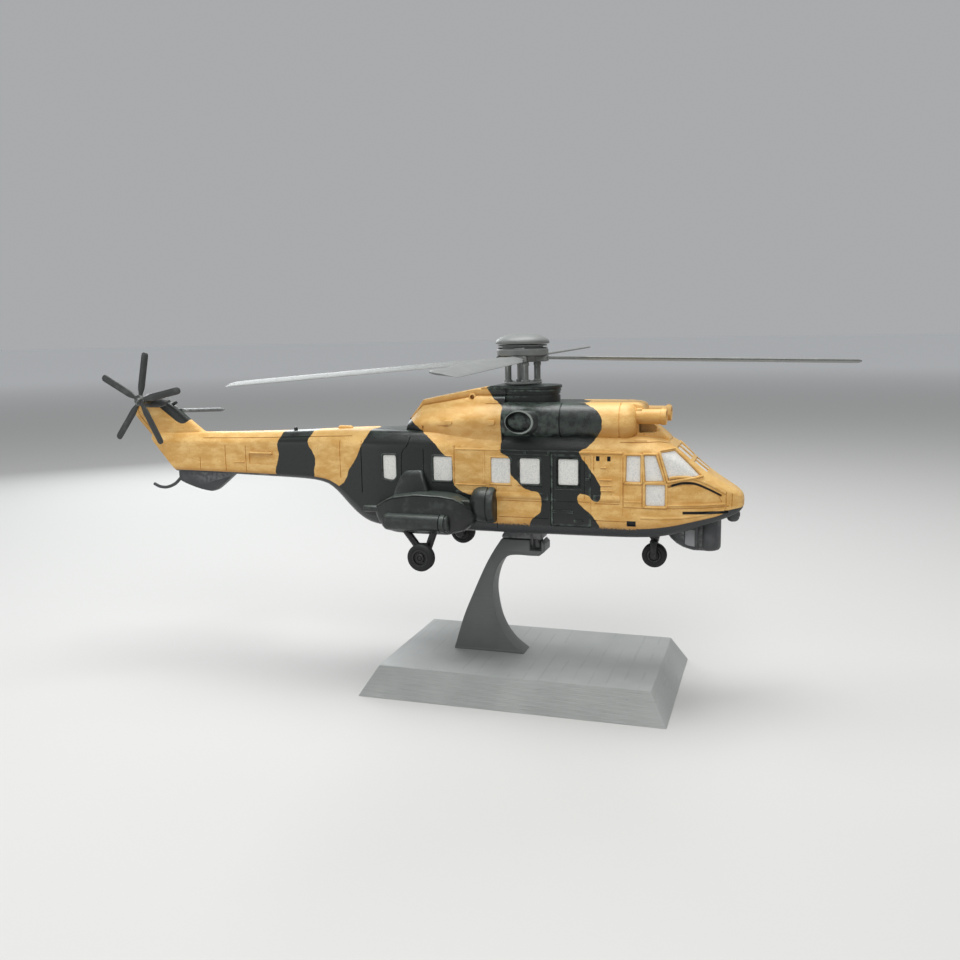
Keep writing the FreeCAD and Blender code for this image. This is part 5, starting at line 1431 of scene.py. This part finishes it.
# leading and trailing edge at the root and how far each moves by the tip
stabiliserSizes = {"lead": (-135.6, 0.6), "trail": (-146.9, 3.7), "root": 0.4, "span": 26.5, "height": 93.6,
                   "droop": -4, "tipFrom": 0.93}
stabiliserSection = [(0, 0), (0.03, 0.55), (0.12, 0.95), (0.35, 1.0), (0.7, 0.6), (1, 0.12), (1, -0.12),
                     (0.7, -0.6), (0.35, -1.0), (0.12, -0.95), (0.03, -0.55)]
tailSizes = {"x": -150.0, "y": -8.0, "z": 98.1, "radius": 18.4, "half": 1.4, "thick": 1.25, "pitch": 6,
             "sides": 18}
tailHeadings = [12.5, 78.0, 151.0, 233.0, 297.0]


def makeStabiliser():
    size = stabiliserSizes
    droop = Matrix.Translation((0, 0, size["height"])) @ Matrix.Rotation(math.radians(size["droop"]), 4, "X")
    rings = []
    for share in np.linspace(0, 1, 14):
        lead, trail = (start + move * share for start, move in (size["lead"], size["trail"]))
        middle = (lead + trail) / 2
        thick, shrink = (0.8, 1.0) if share < size["tipFrom"] else (0.5, 0.88)
        ring = []
        for along, up in stabiliserSection:
            x = middle + (lead + (trail - lead) * along - middle) * shrink
            ring.append(tuple(droop @ Vector((x, size["root"] + size["span"] * share, thick * up))))
        rings.append(ring)
    settle(loft("stabiliser", rings), "airframe", "tail", "stabiliser", angle=40)


def makeTailFittings():
    size = tailFittings
    keel = [tuple(point) for point in through(size["keel"], 40)]
    fin = plate("ventralFin", keel, -size["keelHalf"], size["keelHalf"], "xz", 0.6, 4)
    settle(fin, "airframe", "belly", "ventral_fin", angle=20)
    skid = rod("tailSkid", [(x, 0, z) for x, z in through(size["skid"], 24)], size["skidRadius"], 14, 0.3)
    settle(skid, "airframe", "belly", "tail_skid", angle=40)
    makeStabiliser()
    shaft = (tailSizes["x"], 0, tailSizes["z"])
    pod = lathe("pod", size["pod"], (0, 0, size["podZ"]), "x", 36)
    boss = lathe("boss", size["boss"], shaft, "y", 32)
    for part in (boss, pod):
        carve(part, lathe("bore", size["bore"], shaft, "y", 24))
    settle(merge("tailGearbox", [pod, boss]), "airframe", "tail", "tail_gearbox", angle=35)


boomSizes = {
    "aerial": [(-142.2, 0, 95.4), (-139.3, 0, 97.0)], "beaconX": -88.7,
    "beacon": [(0, 85.4), (0.95, 85.4), (0.95, 86.9), (0.7, 87.0), (0.7, 87.6), (0.45, 88.0), (0, 88.1)],
    "spineLight": [(-71.3, 0, 88.0), (-65.5, 0, 88.0)], "grip": [(-105.0, -6.6, 78.9), (-95.4, -7.1, 78.9)],
    "posts": [(-104.6, -6.62), (-95.8, -7.08)],
}


def makeBoomFittings():
    size = boomSizes
    pieces = [rod("aerial", size["aerial"], 0.62, 12, 0.3),
              lathe("beacon", size["beacon"], (size["beaconX"], 0, 0), "z", 24),
              rod("spineLight", size["spineLight"], 0.95, 18, 0.8)]
    grip, height = [rod("grip", size["grip"], 0.42, 14, 0.3)], size["grip"][0][2]
    grip += [rod("post", [(x, y + 1.2, height), (x, y, height)], 0.5, 12, 0.15) for x, y in size["posts"]]
    pieces += grip + [twin("gripPort", bar) for bar in grip]
    settle(merge("boomFittings", pieces), "airframe", "camo", "boom_fittings", angle=40)


makeTailFittings()
makeBoomFittings()
print("tail fittings made")


# main rotor

rotorSizes = {"x": -1.6, "z": 112.8, "heading": 5.8, "pitch": -9.0, "thick": 1.15, "postTurn": 24.6,
              "postCircle": 5.0, "domeRadius": 9.08, "domeFrom": 118.15, "domeRise": 3.05, "top": 121.2}
bladeSets = [(0.0, -1.2), (-5.2, 0.3), (0.0, -4.55), (-0.6, -0.1)]     # turned on from square, droop
# distance out, width ahead, width behind, share of the thickness
bladePlan = [(8.7, 2.0, 2.0, 0.9), (12.0, 2.2, 2.2, 0.9), (16.0, 2.7, 2.7, 0.9), (19.0, 3.1, 3.4, 0.95),
             (22.0, 4.1, 4.1, 1.0), (60.0, 4.15, 4.15, 1.0), (98.0, 4.15, 4.15, 0.95),
             (103.6, 4.1, 4.15, 0.9), (106.6, 3.5, 4.05, 0.8), (107.8, 2.4, 3.9, 0.65),
             (108.35, 1.2, 3.6, 0.45)]
# share of the width, share of the half thickness
bladeSection = [(-1.0, 0.0), (-0.96, 0.45), (-0.8, 0.85), (-0.45, 1.0), (0.0, 0.85), (0.5, 0.5),
                (0.97, 0.16), (1.0, 0.0), (0.97, -0.14), (0.5, -0.4), (0.0, -0.6), (-0.45, -0.75),
                (-0.8, -0.7), (-0.96, -0.4)]


def makeBlade(number):
    size = rotorSizes
    turnOn, droop = bladeSets[number]
    place = (Matrix.Translation((size["x"], 0, size["z"]))
             @ Matrix.Rotation(math.radians(size["heading"] + 90 * number + turnOn), 4, "Z")
             @ Matrix.Rotation(math.radians(-droop), 4, "Y")
             @ Matrix.Rotation(math.radians(size["pitch"]), 4, "X"))
    reach = [row[0] for row in bladePlan]
    stops = sorted(set(reach) | set(np.linspace(24, 97, 24)))
    rings = []
    for along in stops:
        front, rear, thick = (np.interp(along, reach, [row[column] for row in bladePlan])
                              for column in (1, 2, 3))
        ring = []
        for across, up in bladeSection:
            wide = front if across < 0 else rear
            fullness = 0.35 * (1 - min(max((along - 15) / 7, 0), 1))
            bluff = math.copysign(min(abs(up) * 2.2, 1), up or 1) * (abs(across) < 0.99)
            height = up * (1 - fullness) + bluff * fullness
            ring.append(tuple(place @ Vector((along, across * wide, height * thick * size["thick"] / 2))))
        rings.append(ring)
    blade = loft("mainBlade%d" % (number + 1), rings)
    settle(soften(blade, 0.08, 2, 60), "main_rotor", "rotor", "main_blade_%d" % (number + 1), angle=42)


def makeRotorHead():
    size = rotorSizes
    x = size["x"]
    shaft = lathe("rotorShaft", [(0, 95.3), (1.3, 95.3), (1.5, 95.6), (1.5, 117.3), (0, 117.3)],
                  (x, 0, 0), "z", 40)
    settle(shaft, "main_rotor", "rotor", "rotor_shaft", angle=40)
    pieces = [lathe("ring", [(1.56, 104.15), (6.35, 104.15), (6.6, 104.35), (6.6, 104.7), (6.4, 104.9),
                             (2.6, 104.9), (2.4, 105.4), (1.56, 105.4)], (x, 0, 0), "z", 64, closed=True)]
    for step in range(4):
        angle = math.radians(size["postTurn"] + 90 * step)
        spot = (x + size["postCircle"] * math.cos(angle), size["postCircle"] * math.sin(angle), 0)
        post = [(0, 104.4), (1.45, 104.4), (1.45, 105.3), (1.1, 105.6), (1.1, 110.2), (1.3, 110.4),
                (1.3, 111.2), (1.1, 111.5), (0, 111.5)]
        pieces.append(lathe("post", post, spot, "z", 24))
    settle(merge("mastPosts", pieces), "main_rotor", "rotor", "mast_posts", angle=35)
    hub = [lathe("hub", [(1.52, 111.5), (5.1, 111.5), (5.4, 111.8), (5.4, 113.5), (8.3, 113.6), (8.7, 113.9),
                         (8.75, 115.5), (8.4, 115.95), (7.0, 116.05), (7.0, 116.7), (8.2, 116.8),
                         (8.35, 116.9), (8.35, 117.1), (8.1, 117.25), (1.52, 117.25)], (x, 0, 0), "z", 64,
                 closed=True)]
    for number in range(len(bladeSets)):
        turnOn = bladeSets[number][0]
        turn = Matrix.Translation((x, 0, 0)) @ Matrix.Rotation(
            math.radians(size["heading"] + 90 * number + turnOn), 4, "Z")
        arm = block("arm", (4.0, -2.6, 111.6), (8.6, 2.6, 113.55), 0.3, 3)
        bolt = lathe("bolt", [(0, 115.6), (0.7, 115.6), (0.7, 116.25), (0.5, 116.4), (0, 116.4)],
                     (7.6, 1.4, 0), "z", 6)
        lug = block("lug", (6.4, -1.3, 115.4), (8.3, 1.3, 116.35), 0.25, 2)
        for piece in (arm, bolt, lug):
            piece.data.transform(turn)
            hub.append(piece)
    settle(merge("rotorHub", hub), "main_rotor", "rotor", "rotor_hub", angle=32)
    crown = [(size["domeRadius"] * math.cos(angle),
              size["domeFrom"] + size["domeRise"] * math.sin(angle) ** 1.15)
             for angle in np.linspace(0.05, math.pi / 2, 18)]
    crown[-1] = (0, size["top"])
    brim = [(0, 117.5), (8.5, 117.5), (9.0, 117.6), (size["domeRadius"], 117.8)]
    dome = lathe("rotorDome", brim + crown, (x, 0, 0), "z", 80)
    settle(dome, "main_rotor", "rotor", "rotor_dome", angle=40)
    for number in range(len(bladeSets)):
        makeBlade(number)


makeRotorHead()
print("main rotor made")


# tail rotor

def makeTailRotor():
    size = tailSizes
    place = (size["x"], 0, size["z"])
    hub = lathe("tailHub", [(0, -9.7), (0.7, -9.7), (1.0, -9.4), (1.1, -8.95), (1.9, -8.9), (2.1, -8.7),
                            (2.1, -7.3), (1.9, -7.1), (1.0, -7.1), (0.8, -6.9), (0.8, -2.5), (0, -2.5)],
                place, "y", 36)
    settle(hub, "tail_rotor", "tail", "tail_hub", angle=35)
    for number, heading in enumerate(tailHeadings):
        half, reach = size["half"], size["radius"]
        turn = Matrix.Translation((size["x"], size["y"], size["z"])) @ Matrix.Rotation(
            -math.radians(heading), 4, "Y") @ Matrix.Rotation(math.radians(size["pitch"]), 4, "X")
        rings = []
        for along, wide, thick in ((0.9, 0.75, 0.9), (2.6, 0.8, 0.95), (4.4, half * 0.92, 1.0),
                                   (5.6, half, 1.0), (11.0, half, 0.95), (reach - 1.5, half, 0.9),
                                   (reach - 0.7, half * 0.93, 0.85), (reach - 0.2, half * 0.72, 0.7),
                                   (reach, half * 0.45, 0.5)):
            ring = []
            for step in range(size["sides"]):
                angle = 2 * math.pi * step / size["sides"]
                cosine, sine = math.cos(angle), math.sin(angle)
                deep = sine * thick * size["thick"] / 2 * (1 - 0.25 * abs(cosine))
                up = wide * math.copysign(abs(cosine) ** 0.6, cosine)
                ring.append(tuple(turn @ Vector((along, deep, up))))
            rings.append(ring)
        blade = loft("tailBlade%d" % (number + 1), rings)
        settle(blade, "tail_rotor", "tail", "tail_blade_%d" % (number + 1), angle=40)


makeTailRotor()
print("tail rotor made")


# floor, light and camera

cameraPlace = {"spot": (83.97, -316.46, 123.24), "right": (0.9529, 0.3027, -0.0174),
               "up": (-0.0312, 0.1549, 0.9874), "ahead": (-0.3016, 0.9404, -0.157), "lens": 36.0,
               "sensor": 36.0}
lampPlaces = [
    # name, spot in millimetres, size, watts, colour
    ("keyLight", (160, -430, 560), (460, 360), 1.7, (1.0, 0.985, 0.96)),
    ("topLight", (-60, 60, 640), (520, 300), 3.6, (1.0, 1.0, 1.0)),
    ("rearLight", (-420, 420, 260), (320, 300), 1.0, (0.95, 0.98, 1.0)),
    ("fillLight", (-420, -380, 180), (360, 320), 0.35, (0.96, 0.98, 1.0)),
]
floorSizes = {"rings": (300.0, 800.0, 1600.0, 3000.0, 5500.0, 9000.0), "turns": 72, "fade": (300.0, 2600.0),
              "near": shade(198, 198, 196), "far": shade(251, 252, 253)}
studioLook = {"color": (0.86, 0.88, 0.9, 1), "strength": 0.46, "aim": (-15, 0, 70)}


def makeStage():
    size = floorSizes
    count = size["turns"]
    angles = [2 * math.pi * step / count for step in range(count)]
    turns = [(math.cos(angle), math.sin(angle)) for angle in angles]
    points = [(0.0, 0.0, 0.0)] + [(radius * wide, radius * deep, 0.0) for radius in size["rings"]
                                  for wide, deep in turns]
    faces = [(0, 1 + step, 1 + (step + 1) % count) for step in range(count)]
    for row in range(len(size["rings"]) - 1):
        near, far = 1 + row * count, 1 + (row + 1) * count
        faces += [(near + step, far + step, far + (step + 1) % count, near + (step + 1) % count)
                  for step in range(count)]
    floor = newPiece("floor", points, faces)
    floor.data.transform(Matrix.Scale(mm, 4))
    material, surface, spot, (x, y, _) = newFinish("floorPaper")
    # painted light: the floor turns brighter away from the model so that it fades into the backdrop
    start, end = size["fade"]
    away = (x * x + y * y).above(start ** 2, end ** 2)
    put(surface, color=away.tint(size["near"], size["far"]), rough=0.8)
    floor.data.materials.append(material)
    world = bpy.data.worlds.new("studio")
    scene.world = world
    world.use_nodes = True
    backdrop = next(node for node in world.node_tree.nodes if node.type == "BACKGROUND")
    backdrop.inputs["Color"].default_value = studioLook["color"]
    backdrop.inputs["Strength"].default_value = studioLook["strength"]
    scene.view_settings.view_transform = "Standard"
    for name, spot, (wide, deep), watts, color in lampPlaces:
        lamp = bpy.data.lights.new(name, "AREA")
        lamp.shape, lamp.size, lamp.size_y = "RECTANGLE", wide * mm, deep * mm
        lamp.energy, lamp.color = watts, color
        light = bpy.data.objects.new(name, lamp)
        light.location = Vector(spot) * mm
        light.rotation_mode = "QUATERNION"
        light.rotation_quaternion = (Vector(studioLook["aim"]) * mm - light.location).to_track_quat("-Z", "Y")
        scene.collection.objects.link(light)


def makeCamera():
    lens = bpy.data.cameras.new("camera")
    lens.lens, lens.sensor_width = cameraPlace["lens"], cameraPlace["sensor"]
    lens.clip_start, lens.clip_end = 0.01, 20.0
    camera = bpy.data.objects.new("camera", lens)
    right, up, ahead = (Vector(cameraPlace[key]).normalized() for key in ("right", "up", "ahead"))
    turn = Matrix((right, up, -ahead)).transposed().to_4x4()
    camera.matrix_world = Matrix.Translation(Vector(cameraPlace["spot"]) * mm) @ turn
    scene.collection.objects.link(camera)
    scene.camera = camera


makeStage()
makeCamera()
print("stage, lights and camera made")
